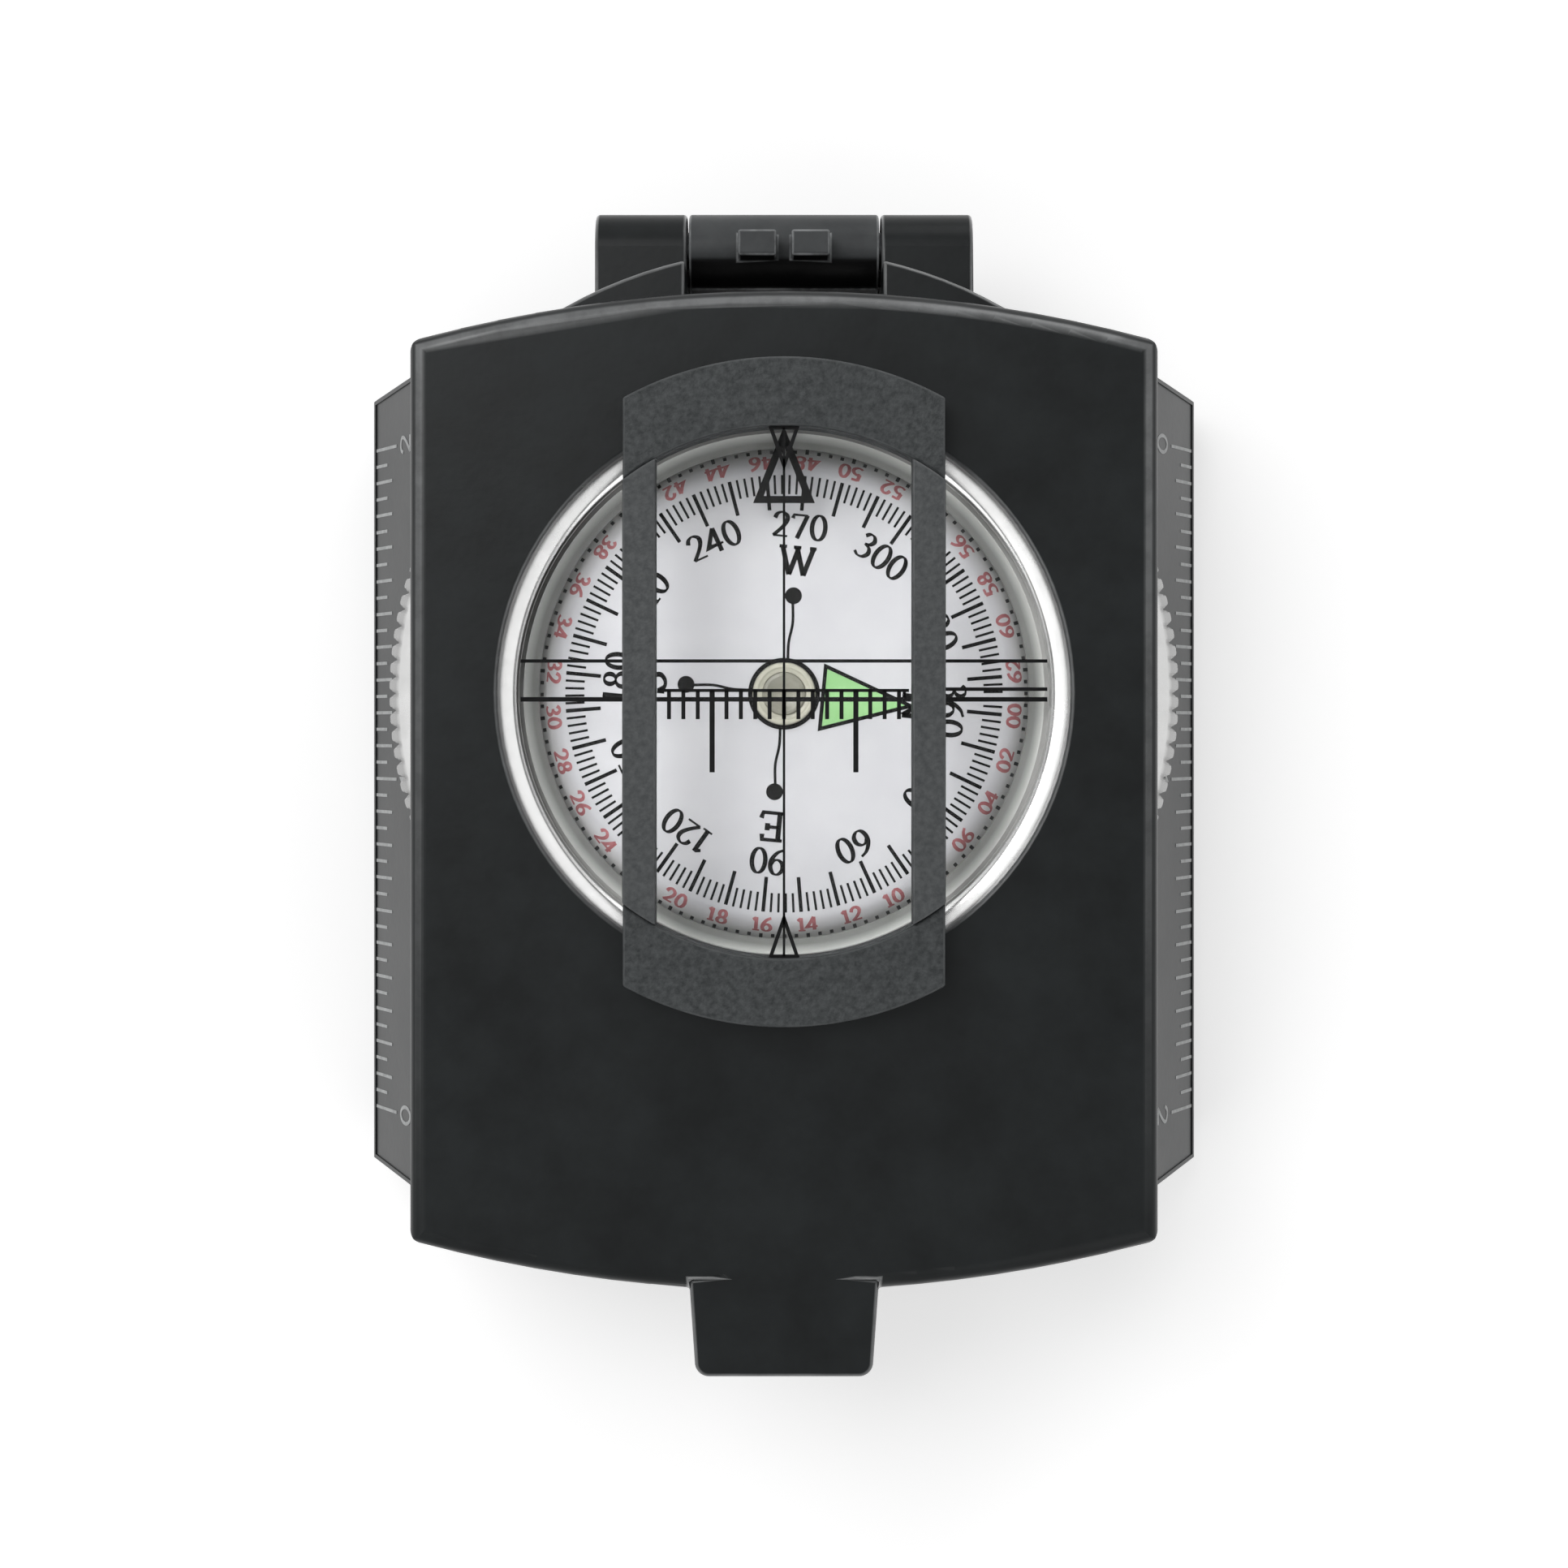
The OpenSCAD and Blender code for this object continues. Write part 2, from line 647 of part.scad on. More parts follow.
// The upper rails end on the arc of the end blocks' bore
module sight_rails() color("#303436") for (side = [0, 1]) {
    mirror([side, 0, 0]) intersection() {
        translate([0, 0, rail_mid_z]) cylinder(r = rail_end_r, h = rail_t, $fn = 180);
        translate([frame_w / 2 - rail_w, -reach / 2, 0]) cube([rail_w, reach, reach]);
    }
}

module sight_screws() color("#9a9da0") sight_screw_places() {
    translate([0, 0, lid_roof + 0.1]) cylinder(r = frame_screw_head, h = 0.7);
    translate([0, 0, lid_roof + 0.1]) cylinder(r = frame_screw_r, h = lid_top_t + frame_h - 1.2);
}

module capsule_cup() color("#c9cccf") difference() {
    union() {
        translate([0, 0, capsule_z]) cylinder(r = capsule_r, h = gasket_z - capsule_z, $fn = 180);
        translate([0, 0, deck_low - flange_t]) cylinder(r = flange_r, h = flange_t, $fn = 180);
    }
    translate([0, 0, capsule_z + capsule_floor]) cylinder(r = capsule_bore, h = reach, $fn = 180);
}

module pivot_post() color("#b9a46a") {
    translate([0, 0, post_base]) cylinder(r = post_r + 1.4, h = 0.8);
    translate([0, 0, post_base]) cylinder(r = post_r, h = post_tip - post_cone - post_base);
    translate([0, 0, post_tip - post_cone]) cylinder(r1 = post_r, r2 = 0.15, h = post_cone);
}

module capsule_gasket() color("#26282a") translate([0, 0, gasket_z]) difference() {
    cylinder(r = capsule_r, h = gasket_t, $fn = 180);
    translate([0, 0, -over]) cylinder(r = capsule_bore - 0.1, h = reach, $fn = 180);
}

module crystal() color("#dfe9ea", 0.3)
    translate([0, 0, crystal_z]) cylinder(r = capsule_r, h = crystal_t, $fn = 180);

module dial_card() color("#d4d6da") difference() {
    rotate_extrude($fn = 180) polygon([[0, card_low], [card_r - card_t, card_low],
        [skirt_r - card_t, card_top - skirt_h], [skirt_r, card_top - skirt_h], [card_r, card_top],
        [hub_r, card_top], [hub_r, hub_top], [0, hub_top]]);
    translate([0, 0, card_low - over]) cylinder(r = jewel_r + fixed_clear, h = reach);
}

module dial_magnet() color("#6d7175") translate([0, 0, card_low - magnet_t]) difference() {
    translate([-magnet_l / 2, -magnet_w / 2, 0]) cube([magnet_l, magnet_w, magnet_t]);
    translate([0, 0, -over]) cylinder(r = jewel_r + fixed_clear + 0.1, h = reach);
}

module dial_jewel() color("#e8e4d4") difference() {
    union() {
        translate([0, 0, jewel_low]) cylinder(r = jewel_r, h = jewel_top - jewel_low);
        translate([0, 0, hub_top]) cylinder(r = jewel_r + 0.2, h = jewel_top - hub_top);
    }
    translate([0, 0, jewel_low - 0.01]) cylinder(r1 = 1.3, r2 = 0.3, h = 1.2);
}

module bezel_ring() color("#b8babc") difference() {
    union() {
        rotate_extrude($fn = 180) polygon([[ring_bore, ring_low], [root_r - 0.5, ring_low],
            [root_r - 0.1, knurl_z], [root_r - 0.1, knurl_top], [root_r - 0.8, knurl_top + 0.4],
            [seat_r + 1.6, ring_top - 0.3], [seat_r + 0.7, ring_top], [rim_r, ring_top],
            [rim_r, ring_top - rim_t], [seat_r, ring_top - rim_t], [seat_r, collar_top + 0.35],
            [ring_bore, collar_top + 0.35]]);
        difference() {
            translate([0, 0, knurl_z]) toothed(ring_r, knurl_d, knurl_n, knurl_h);
            translate([0, 0, -over]) cylinder(r = root_r - 1, h = reach, $fn = 180);
        }
    }
    translate([0, 0, clip_z - 0.15])
        cylinder(r = collar_r + clip_depth + 0.2, h = clip_t + 2 * fixed_clear + 0.3, $fn = 180);
}

module bezel_clip() color("#9a9da0") difference() {
    translate([0, 0, clip_z + fixed_clear]) cylinder(r = collar_r + clip_depth, h = clip_t, $fn = 180);
    cylinder(r = collar_r - clip_depth, h = reach, $fn = 180);
    translate([-1.5, 0, 0]) cube([3, reach, reach]);
}

module bezel_glass() color("#dfe9ea", 0.3)
    translate([0, 0, bezel_glass_z]) cylinder(r = bezel_glass_r, h = bezel_glass_t, $fn = 180);

module bezel_glass_ring() color("#b8babc") translate([0, 0, clip_ring_z]) difference() {
    cylinder(r = bezel_glass_r, h = clip_ring_t, $fn = 180);
    translate([0, 0, -over]) cylinder(r = rim_r - 0.1, h = reach, $fn = 180);
}

module eyepiece_tube() color("#3a3e40") difference() {
    union() {
        difference() {
            eye_rod(flange_eye_r, base_end - 1.5, flange_end);
            translate([0, bow_r - base_end, -over]) cylinder(r = bow_r, h = reach, $fn = big_fn);
        }
        eye_rod(tube_r, flange_end - 0.2, tube_end);
        eye_rod(neck_r, base_end - wall, base_end + 0.3);
    }
    eye_rod(tube_bore, flange_end, tube_end + over);
    eye_rod(neck_bore, base_end - wall - over, flange_end + over);
}

module focus_ring() color("#191b1c") difference() {
    translate([0, -focus_y, eye_z]) rotate([90, 0, 0]) intersection() {
        toothed(focus_r, focus_d, focus_n, focus_l);
        rotate_extrude() polygon([[0, 0], [focus_r - 0.4, 0], [focus_r + 0.1, 0.5],
            [focus_r + 0.1, focus_l - 0.8], [focus_r - 0.7, focus_l], [0, focus_l]]);
    }
    eye_rod(flange_eye_r + 0.1, focus_y - over, flange_end + 0.15);
    eye_rod(tube_r + pin_clear, focus_y - over, focus_lip_y);
    eye_rod(aperture_r, focus_y, focus_end + over);
    translate([0, -focus_end + 0.6, eye_z]) rotate([90, 0, 0])
        cylinder(r1 = aperture_r, r2 = aperture_r + 0.9, h = 0.7);
}

module lens_barrel() color("#2e3133") difference() {
    eye_rod(barrel_r, barrel_y, barrel_y + barrel_l);
    eye_rod(lens_r - 0.4, barrel_y - over, barrel_y + barrel_l + over);
    eye_rod(lens_r + fixed_clear, barrel_y + barrel_l - lens_t - 0.2, barrel_y + barrel_l + over);
}

module eyepiece_lens() color("#cfe3e6", 0.4) {
    y1 = barrel_y + barrel_l - 0.2;
    intersection() {
        eye_rod(lens_r, y1 - lens_t, y1);
        translate([0, lens_ball_r - y1, eye_z]) sphere(lens_ball_r, $fn = 180);
    }
}

// The loop is drawn folded flat and then let down by loop_hang about its pins
module thumb_loop() color("#202324")
    translate([0, loop_y, loop_z]) rotate([loop_hang, 0, 0]) translate([0, -loop_y, -loop_z])
        difference() {
            union() {
                for (side = [0, 1]) {
                    mirror([side, 0, 0]) loop_arm();
                }
                loop_leg();
            }
            x_rod(loop_hole_r, -reach / 2, reach / 2, loop_y, loop_z);
        }

module loop_arm() {
    x_rod(arm_r, loop_side, loop_half, loop_y, loop_z);
    translate([loop_side, loop_y - arm_r, leg_top - over])
        cube([loop_w, 2 * arm_r, loop_z - leg_top + over]);
}

module loop_leg() {
    bend_y = loop_tip + loop_half;
    back = loop_y + arm_r - 1;
    difference() {
        union() {
            translate([0, bend_y, leg_low]) cylinder(r = loop_half, h = loop_t);
            translate([-loop_half, bend_y, leg_low]) cube([2 * loop_half, back - bend_y, loop_t]);
            x_rod(1, -loop_half, loop_half, back, leg_low + 1);
            translate([-loop_half, back, leg_low + 1]) cube([2 * loop_half, 1, loop_t - 1]);
        }
        translate([0, bend_y, leg_low - over]) cylinder(r = loop_side, h = loop_t + 2 * over);
        translate([-loop_side, bend_y, leg_low - over]) cube([2 * loop_side, reach, loop_t + 2 * over]);
    }
}

module loop_pins() color("#4c5052") for (side = [0, 1]) {
    mirror([side, 0, 0]) {
        x_rod(loop_pin_r, block_w / 2 - 2.4, loop_half + 0.15, loop_y, loop_z);
        intersection() {
            translate([loop_half + 0.1, loop_y, loop_z]) sphere(loop_head_r);
            translate([loop_half + 0.1, 0, 0]) cube([reach, reach, reach]);
        }
    }
}

base_body();
bottom_cover();
cover_screws();
tripod_bush();
hinge_block();
block_screws();
hinge_pin();
lid_shell();
sight_frame();
sight_glass();
sight_rails();
sight_screws();
capsule_cup();
pivot_post();
capsule_gasket();
crystal();
dial_card();
dial_magnet();
dial_jewel();
bezel_ring();
bezel_clip();
bezel_glass();
bezel_glass_ring();
eyepiece_tube();
focus_ring();
lens_barrel();
eyepiece_lens();
thumb_loop();
loop_pins();
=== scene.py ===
import math
import bmesh
import bpy
import numpy as np
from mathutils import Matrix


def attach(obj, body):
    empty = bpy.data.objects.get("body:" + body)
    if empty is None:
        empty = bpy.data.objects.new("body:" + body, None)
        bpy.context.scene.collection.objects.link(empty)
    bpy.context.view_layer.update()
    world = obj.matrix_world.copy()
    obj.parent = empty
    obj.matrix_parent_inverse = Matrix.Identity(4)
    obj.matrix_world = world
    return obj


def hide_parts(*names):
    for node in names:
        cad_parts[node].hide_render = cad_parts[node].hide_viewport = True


# Folding sighting compass, closed, seen from above. Sizes in the dictionaries are millimetres.
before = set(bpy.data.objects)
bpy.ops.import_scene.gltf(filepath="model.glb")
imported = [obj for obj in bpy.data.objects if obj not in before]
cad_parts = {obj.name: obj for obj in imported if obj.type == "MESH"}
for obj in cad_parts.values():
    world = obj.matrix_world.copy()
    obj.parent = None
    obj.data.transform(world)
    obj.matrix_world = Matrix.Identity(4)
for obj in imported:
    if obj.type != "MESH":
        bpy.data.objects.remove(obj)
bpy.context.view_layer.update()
mm = 0.001
printThick = 0.02  # mm that a printed mark stands off its ground
sharpTurn = 30  # degrees; edges that turn by more stay sharp in the shading
hingeAxis = (32.9, 13.9)  # Y and Z of the hinge pin


def gridQuads(rows, cols, wrapRows, wrapCols):
    # one quad between each four neighbours of a rows x cols grid of points
    r = np.arange(rows if wrapRows else rows - 1)[:, None]
    c = np.arange(cols if wrapCols else cols - 1)[None, :]
    r2, c2 = (r + 1) % rows, (c + 1) % cols
    corners = [r * cols + c, r2 * cols + c, r2 * cols + c2, r * cols + c2]
    return np.stack([np.broadcast_to(k, (r.size, c.size)) for k in corners], -1).reshape(-1, 4)


def signedVolume(points, faces):
    # sum of the tetrahedra between the origin and each face, cut into triangles
    total = 0.0
    for k in range(1, faces.shape[1] - 1):
        a, b, c = points[faces[:, 0]], points[faces[:, k]], points[faces[:, k + 1]]
        total += (a * np.cross(b, c)).sum() / 6
    return total


def linked(name, data):
    # a new object in the scene
    thing = bpy.data.objects.new(name, data)
    bpy.context.scene.collection.objects.link(thing)
    return thing


def shadeSmooth(mesh, turn):
    # smooth faces that meet in a sharp edge where they turn by more than this many degrees
    mesh.polygons.foreach_set("use_smooth", np.ones(len(mesh.polygons), bool))
    mesh.set_sharp_from_angle(angle=math.radians(turn))


def makePiece(name, points, faces, material, body, slot, stands=(), smooth=sharpTurn):
    # a mesh from millimetre points, turned outwards if its volume is negative, on a body
    points = np.asarray(points, float).reshape(-1, 3) * mm
    if sum(signedVolume(points, f) for f in faces) < 0:
        faces = [f[:, ::-1] for f in faces]
    mesh = bpy.data.meshes.new(name)
    mesh.from_pydata(points.tolist(), [], [row for f in faces for row in f.tolist()])
    shadeSmooth(mesh, smooth)
    mesh.materials.append(material)
    piece = linked(name, mesh)
    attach(piece, body)
    if stands:
        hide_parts(*stands)
    return piece


def softened(node, name, width, limit, material, body, slot, merge=0.002, roof=None):
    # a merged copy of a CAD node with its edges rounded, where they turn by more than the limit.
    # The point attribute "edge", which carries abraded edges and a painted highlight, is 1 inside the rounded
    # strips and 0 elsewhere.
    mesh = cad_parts[node].data.copy()
    mesh.name = name
    merged = bmesh.new()
    merged.from_mesh(mesh)
    bmesh.ops.remove_doubles(merged, verts=merged.verts, dist=merge * mm)
    bmesh.ops.dissolve_limit(merged, angle_limit=math.radians(1), verts=merged.verts, edges=merged.edges)
    merged.to_mesh(mesh)
    merged.free()
    # the second slot marks the faces of the rounded strips until their points are known
    mesh.materials.clear()
    mesh.materials.append(material)
    mesh.materials.append(material)
    shadeSmooth(mesh, sharpTurn)
    piece = linked(name, mesh)
    bevel = piece.modifiers.new("roundedEdges", "BEVEL")
    bevel.material = 1
    bevel.width = width * mm
    bevel.segments = 3
    bevel.limit_method = "ANGLE"
    bevel.angle_limit = math.radians(limit)
    bevel.use_clamp_overlap = False
    bevel.loop_slide = False
    even = piece.modifiers.new("evenNormals", "WEIGHTED_NORMAL")
    even.weight = 90
    even.keep_sharp = True
    done = bpy.data.meshes.new_from_object(piece.evaluated_get(bpy.context.evaluated_depsgraph_get()))
    piece.modifiers.clear()
    piece.data = done
    done.name = name
    count = len(done.polygons)
    strip, corners = np.zeros(count, np.int32), np.zeros(count, np.int32)
    corner = np.zeros(len(done.loops), np.int32)
    done.polygons.foreach_get("material_index", strip)
    done.polygons.foreach_get("loop_total", corners)
    done.loops.foreach_get("vertex_index", corner)
    # a point is on a strip only if all its faces are
    edge = np.ones(len(done.vertices))
    np.minimum.at(edge, corner, np.repeat(strip, corners).astype(float))
    if roof is not None:
        # the upper half of the roof's rounding counts too, at its sides and its +Y end, as a painted highlight
        at = np.zeros(3 * len(edge))
        done.vertices.foreach_get("co", at)
        x, y, z = at.reshape(-1, 3).T / mm
        rise = np.clip((z - roof["low"]) / roof["rise"], 0, 1)
        fall = np.clip((roof["high"] - z) / roof["fall"], 0, 1)
        edge = np.maximum(edge, rise * fall * (np.hypot(x, y) > roof["clear"]) * (y > roof["front"]))
    done.attributes.new("edge", "FLOAT", "POINT").data.foreach_set("value", edge)
    done.polygons.foreach_set("material_index", np.zeros(count, np.int32))
    done.materials.pop()
    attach(piece, body)
    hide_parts(node)


def smoothLine(knots, perSpan=6):
    # Catmull-Rom curve: each span is a cubic of its two knots and their two neighbours
    k = np.asarray(knots, float)
    k = np.vstack([2 * k[0] - k[1], k, 2 * k[-1] - k[-2]])
    t = (np.arange(perSpan) / perSpan)[None, :, None]
    a, b, c, d = k[:-3, None], k[1:-2, None], k[2:-1, None], k[3:, None]
    curve = 0.5 * (2 * b + (c - a) * t + (2 * a - 5 * b + 4 * c - d) * t ** 2
                   + (3 * b - a - 3 * c + d) * t ** 3)
    return np.vstack([curve.reshape(-1, k.shape[1]), k[-2]])


def roundZ(angle, radius, height):
    # a row of points for each angle: radius times cosine, radius times sine, height
    radius = np.broadcast_to(radius, (len(angle), len(height)))
    height = np.broadcast_to(height, radius.shape)
    return np.stack([radius * np.cos(angle)[:, None], radius * np.sin(angle)[:, None], height], -1)


def revolve(profile, turns=180, radius=None):
    # closed ring of profile points (radius, height) carried round Z; radius may depend on the angle
    profile = np.asarray(profile, float)
    angle = np.arange(turns) * 2 * np.pi / turns
    points = roundZ(angle, radius(angle, profile) if radius else profile[:, 0], profile[:, 1])
    return points, [gridQuads(turns, len(profile), True, True)]


def spindle(profile, turns=96):
    # solid of revolution whose profile starts and ends on the axis; the poles are single points
    profile = np.asarray(profile, float)
    inner = profile[1:-1]
    ring = roundZ(np.arange(turns) * 2 * np.pi / turns, inner[:, 0], inner[:, 1]).reshape(-1, 3)
    quads = gridQuads(turns, len(inner), True, False)
    low, high = len(ring), len(ring) + 1
    here = np.arange(turns) * len(inner)
    after = np.roll(here, -1)
    fans = [np.stack([np.full(turns, low), after, here], -1),
            np.stack([np.full(turns, high), here + len(inner) - 1, after + len(inner) - 1], -1)]
    points = np.vstack([ring, [[0, 0, profile[0, 1]], [0, 0, profile[-1, 1]]]])
    return points, [quads, np.vstack(fans)]


def ribbon(path, width, closed, thick):
    # flat stroke of the given width along a path in the plane, mitred at its corners, with a thickness
    path = np.asarray(path, float)
    count = len(path)
    half = np.broadcast_to(np.asarray(width, float), (count,))[:, None] / 2
    ahead = np.roll(path, -1, 0) - path
    if not closed:
        ahead[-1] = ahead[-2]
    ahead /= np.linalg.norm(ahead, axis=1)[:, None]
    behind = np.roll(ahead, 1, 0)
    if not closed:
        behind[0] = ahead[0]
    sideA = np.stack([-ahead[:, 1], ahead[:, 0]], -1)
    sideB = np.stack([-behind[:, 1], behind[:, 0]], -1)
    least = 0.15  # keeps the mitre of a very sharp corner short
    mitre = (sideA + sideB) / np.maximum(1 + (sideA * sideB).sum(1), least)[:, None]
    left, right = path + mitre * half, path - mitre * half
    low, top = np.zeros((count, 1)), np.full((count, 1), thick)
    points = np.stack([np.hstack([left, low]), np.hstack([left, top]),
                       np.hstack([right, top]), np.hstack([right, low])], 1).reshape(-1, 3)
    quads = gridQuads(count, 4, closed, True)[:, ::-1]
    if not closed:
        end = 4 * (count - 1)
        quads = np.vstack([quads, [[3, 2, 1, 0], [end, end + 1, end + 2, end + 3]]])
    return points, [quads]


def plate(outline):
    # flat convex plate: triangles from its centre to the outline, above and below, and its rim
    outline = np.asarray(outline, float)
    count = len(outline)
    ring = np.arange(count)
    after = np.roll(ring, -1)
    flat = np.vstack([outline, outline.mean(0)])
    points = np.vstack([np.hstack([flat, np.full((count + 1, 1), z)]) for z in (0.0, printThick)])
    up = count + 1
    tris = np.vstack([np.stack([np.full(count, count + up), ring + up, after + up], -1),
                      np.stack([np.full(count, count), after, ring], -1)])
    rim = np.stack([ring, after, after + up, ring + up], -1)
    return points, [rim, tris]


def circleLine(x, y, radius, count=32):
    # points round a circle
    angle = np.arange(count) * 2 * np.pi / count
    return np.stack([x + radius * np.cos(angle), y + radius * np.sin(angle)], -1)


def joined(shells):
    # several (points, faces) shells as one; faces of each corner count are stacked
    points, groups, start = [], {}, 0
    for p, faces in shells:
        for f in faces:
            groups.setdefault(f.shape[1], []).append(f + start)
        points.append(p.reshape(-1, 3))
        start += len(points[-1])
    return np.vstack(points), [np.vstack(g) for g in groups.values()]


# Strokes in parts of an em: "curve" through knots, "line" straight, "oval" (x, y, half width, half height)
serifGlyphs = {
    "0": (0.50, [("oval", (0.25, 0.33, 0.18, 0.33))]),
    "1": (0.40, [("line", [(0.22, 0.02), (0.22, 0.66)]), ("line", [(0.08, 0.54), (0.21, 0.64)]),
                 ("line", [(0.08, 0.01), (0.36, 0.01)])]),
    "2": (0.50, [("curve", [(0.06, 0.50), (0.12, 0.62), (0.25, 0.67), (0.38, 0.59), (0.39, 0.45), (0.28, 0.27),
                            (0.05, 0.03)]), ("line", [(0.05, 0.035), (0.43, 0.035)])]),
    "3": (0.50, [("curve", [(0.08, 0.55), (0.17, 0.65), (0.29, 0.65), (0.37, 0.54), (0.31, 0.41),
                            (0.18, 0.36)]),
                 ("curve", [(0.18, 0.36), (0.34, 0.31), (0.40, 0.18), (0.32, 0.04), (0.18, 0.0),
                            (0.05, 0.06)])]),
    "4": (0.50, [("line", [(0.33, 0.66), (0.03, 0.20), (0.46, 0.20)]), ("line", [(0.33, 0.66), (0.33, 0.0)])]),
    "5": (0.50, [("line", [(0.40, 0.645), (0.15, 0.645)]), ("line", [(0.15, 0.66), (0.11, 0.37)]),
                 ("curve", [(0.11, 0.37), (0.25, 0.41), (0.38, 0.32), (0.40, 0.16), (0.28, 0.02), (0.15, 0.0),
                            (0.04, 0.06)])]),
    "6": (0.50, [("curve", [(0.41, 0.66), (0.23, 0.57), (0.09, 0.37), (0.08, 0.17), (0.16, 0.02), (0.29, 0.0),
                            (0.40, 0.12), (0.39, 0.28), (0.28, 0.38), (0.16, 0.36), (0.09, 0.27)])]),
    "7": (0.50, [("line", [(0.04, 0.53), (0.07, 0.63), (0.44, 0.63)]), ("line", [(0.43, 0.64), (0.19, 0.0)])]),
    "8": (0.50, [("oval", (0.25, 0.505, 0.135, 0.155)), ("oval", (0.25, 0.175, 0.175, 0.175))]),
    "9": (0.50, [("curve", [(0.09, 0.0), (0.27, 0.09), (0.41, 0.29), (0.42, 0.49), (0.34, 0.64), (0.21, 0.66),
                            (0.10, 0.54), (0.11, 0.38), (0.22, 0.28), (0.34, 0.30), (0.41, 0.39)])]),
    "N": (0.70, [("line", [(0.12, 0.0), (0.12, 0.66)]), ("line", [(0.12, 0.66), (0.58, 0.0)]),
                 ("line", [(0.58, 0.0), (0.58, 0.66)]), ("line", [(0.02, 0.01), (0.22, 0.01)]),
                 ("line", [(0.02, 0.65), (0.16, 0.65)]), ("line", [(0.48, 0.65), (0.68, 0.65)])]),
    "E": (0.62, [("line", [(0.13, 0.0), (0.13, 0.66)]), ("line", [(0.03, 0.01), (0.52, 0.01), (0.56, 0.15)]),
                 ("line", [(0.03, 0.65), (0.50, 0.65), (0.51, 0.52)]), ("line", [(0.13, 0.345), (0.40, 0.345)]),
                 ("line", [(0.40, 0.26), (0.40, 0.43)])]),
    "S": (0.54, [("curve", [(0.44, 0.52), (0.38, 0.63), (0.25, 0.67), (0.11, 0.60), (0.11, 0.46), (0.25, 0.36),
                            (0.41, 0.26), (0.44, 0.12), (0.32, 0.01), (0.17, 0.01), (0.06, 0.15)]),
                 ("line", [(0.445, 0.50), (0.445, 0.66)]), ("line", [(0.06, 0.0), (0.06, 0.17)])]),
    "W": (0.88, [("line", [(0.08, 0.65), (0.28, 0.0)]), ("line", [(0.28, 0.0), (0.45, 0.60)]),
                 ("line", [(0.42, 0.65), (0.62, 0.0)]), ("line", [(0.62, 0.0), (0.81, 0.65)]),
                 ("line", [(0.0, 0.65), (0.18, 0.65)]), ("line", [(0.34, 0.65), (0.52, 0.65)]),
                 ("line", [(0.72, 0.65), (0.88, 0.65)])]),
}
plainGlyphs = {
    "0": (0.56, [("oval", (0.28, 0.33, 0.19, 0.33))]),
    "1": (0.56, [("line", [(0.13, 0.50), (0.30, 0.66), (0.30, 0.0)])]),
    "2": (0.56, [("curve", [(0.09, 0.50), (0.15, 0.62), (0.28, 0.66), (0.42, 0.59), (0.43, 0.45), (0.31, 0.25),
                            (0.09, 0.01)]), ("line", [(0.08, 0.01), (0.47, 0.01)])]),
}
capHeight = 0.66  # of every glyph, in ems


def penWidth(path, thin, thick, closed, power=1.4):
    # broad pen: a stroke is thick where it runs up or down and thin where it runs across
    step = np.roll(path, -1, 0) - np.roll(path, 1, 0) if closed else np.gradient(path, axis=0)
    upright = abs(step[:, 1]) / np.linalg.norm(step, axis=1)
    return thin + (thick - thin) * upright ** power


def subdivided(corners, parts):
    # straight runs between corners, each cut into equal parts
    corners = np.array(corners, float)
    at = np.arange((len(corners) - 1) * parts + 1) / parts
    return np.stack([np.interp(at, np.arange(len(corners)), corners[:, k]) for k in (0, 1)], -1)


def lettering(text, height, glyphs=serifGlyphs, thin=0.055, thick=0.125, perSpan=6, parts=1):
    # strokes of a text, as (path, width, closed), centred on the origin; straight ones are cut into parts
    scale = height / capHeight
    strokes, x = [], 0.0
    for letter in text:
        advance, shapes = glyphs[letter]
        for kind, shape in shapes:
            closed = kind == "oval"
            if closed:
                turn = np.arange(4 * perSpan) * 2 * np.pi / (4 * perSpan)
                path = np.stack([shape[0] + shape[2] * np.sin(turn), shape[1] + shape[3] * np.cos(turn)], -1)
            else:
                path = smoothLine(shape, perSpan) if kind == "curve" else subdivided(shape, parts)
            strokes.append((path + [x, 0], penWidth(path, thin, thick, closed), closed))
        x += advance
    return [((path - [x / 2, capHeight / 2]) * scale, width * scale, closed)
            for path, width, closed in strokes]


def straight(start, end, width):
    # one stroke between two points
    return np.array([start, end], float), width, False


def onPlane(origin, right, up):
    # puts points (u, v, w) in the frame: u to the right, v up and w off the plane, along right x up
    right, up = np.array(right, float), np.array(up, float)
    away = np.cross(right, up)
    return lambda p: origin + p[:, :1] * right + p[:, 1:2] * up + p[:, 2:] * away


def level(z):
    # puts flat points at a height, with their up pointing to +Y
    return lambda p: p + [0, 0, z]


def marks(strokes, place, thick=printThick):
    # each stroke as a thin ribbon, set on its ground by place
    shells = []
    for path, width, closed in strokes:
        points, faces = ribbon(path, width, closed, thick)
        shells.append((place(points), faces))
    return shells


def printed(name, strokes, place, material, body, slot, thick=printThick):
    # strokes on one ground as a piece of their own
    makePiece(name, *joined(marks(strokes, place, thick)), material, body, slot)


def put(tree, kind, values=None, **settings):
    # adds a node; a value that is a socket is linked, any other is set
    node = tree.nodes.new(kind)
    for key, value in settings.items():
        setattr(node, key, value)
    for key, value in (values or {}).items():
        if isinstance(value, bpy.types.NodeSocket):
            tree.links.new(value, node.inputs[key])
        else:
            node.inputs[key].default_value = value
    return node


def calc(tree, operation, *values, **settings):
    # the result of one operation on numbers or sockets
    return put(tree, "ShaderNodeMath", dict(enumerate(values)), operation=operation, **settings).outputs[0]


def ramp(tree, value, start, end, low=0.0, high=1.0, **settings):
    # low up to the start, high from the end on, and an even run between
    node = put(tree, "ShaderNodeMapRange", {"Value": value, "From Min": start, "From Max": end,
                                            "To Min": low, "To Max": high}, **settings)
    return node.outputs["Result"]


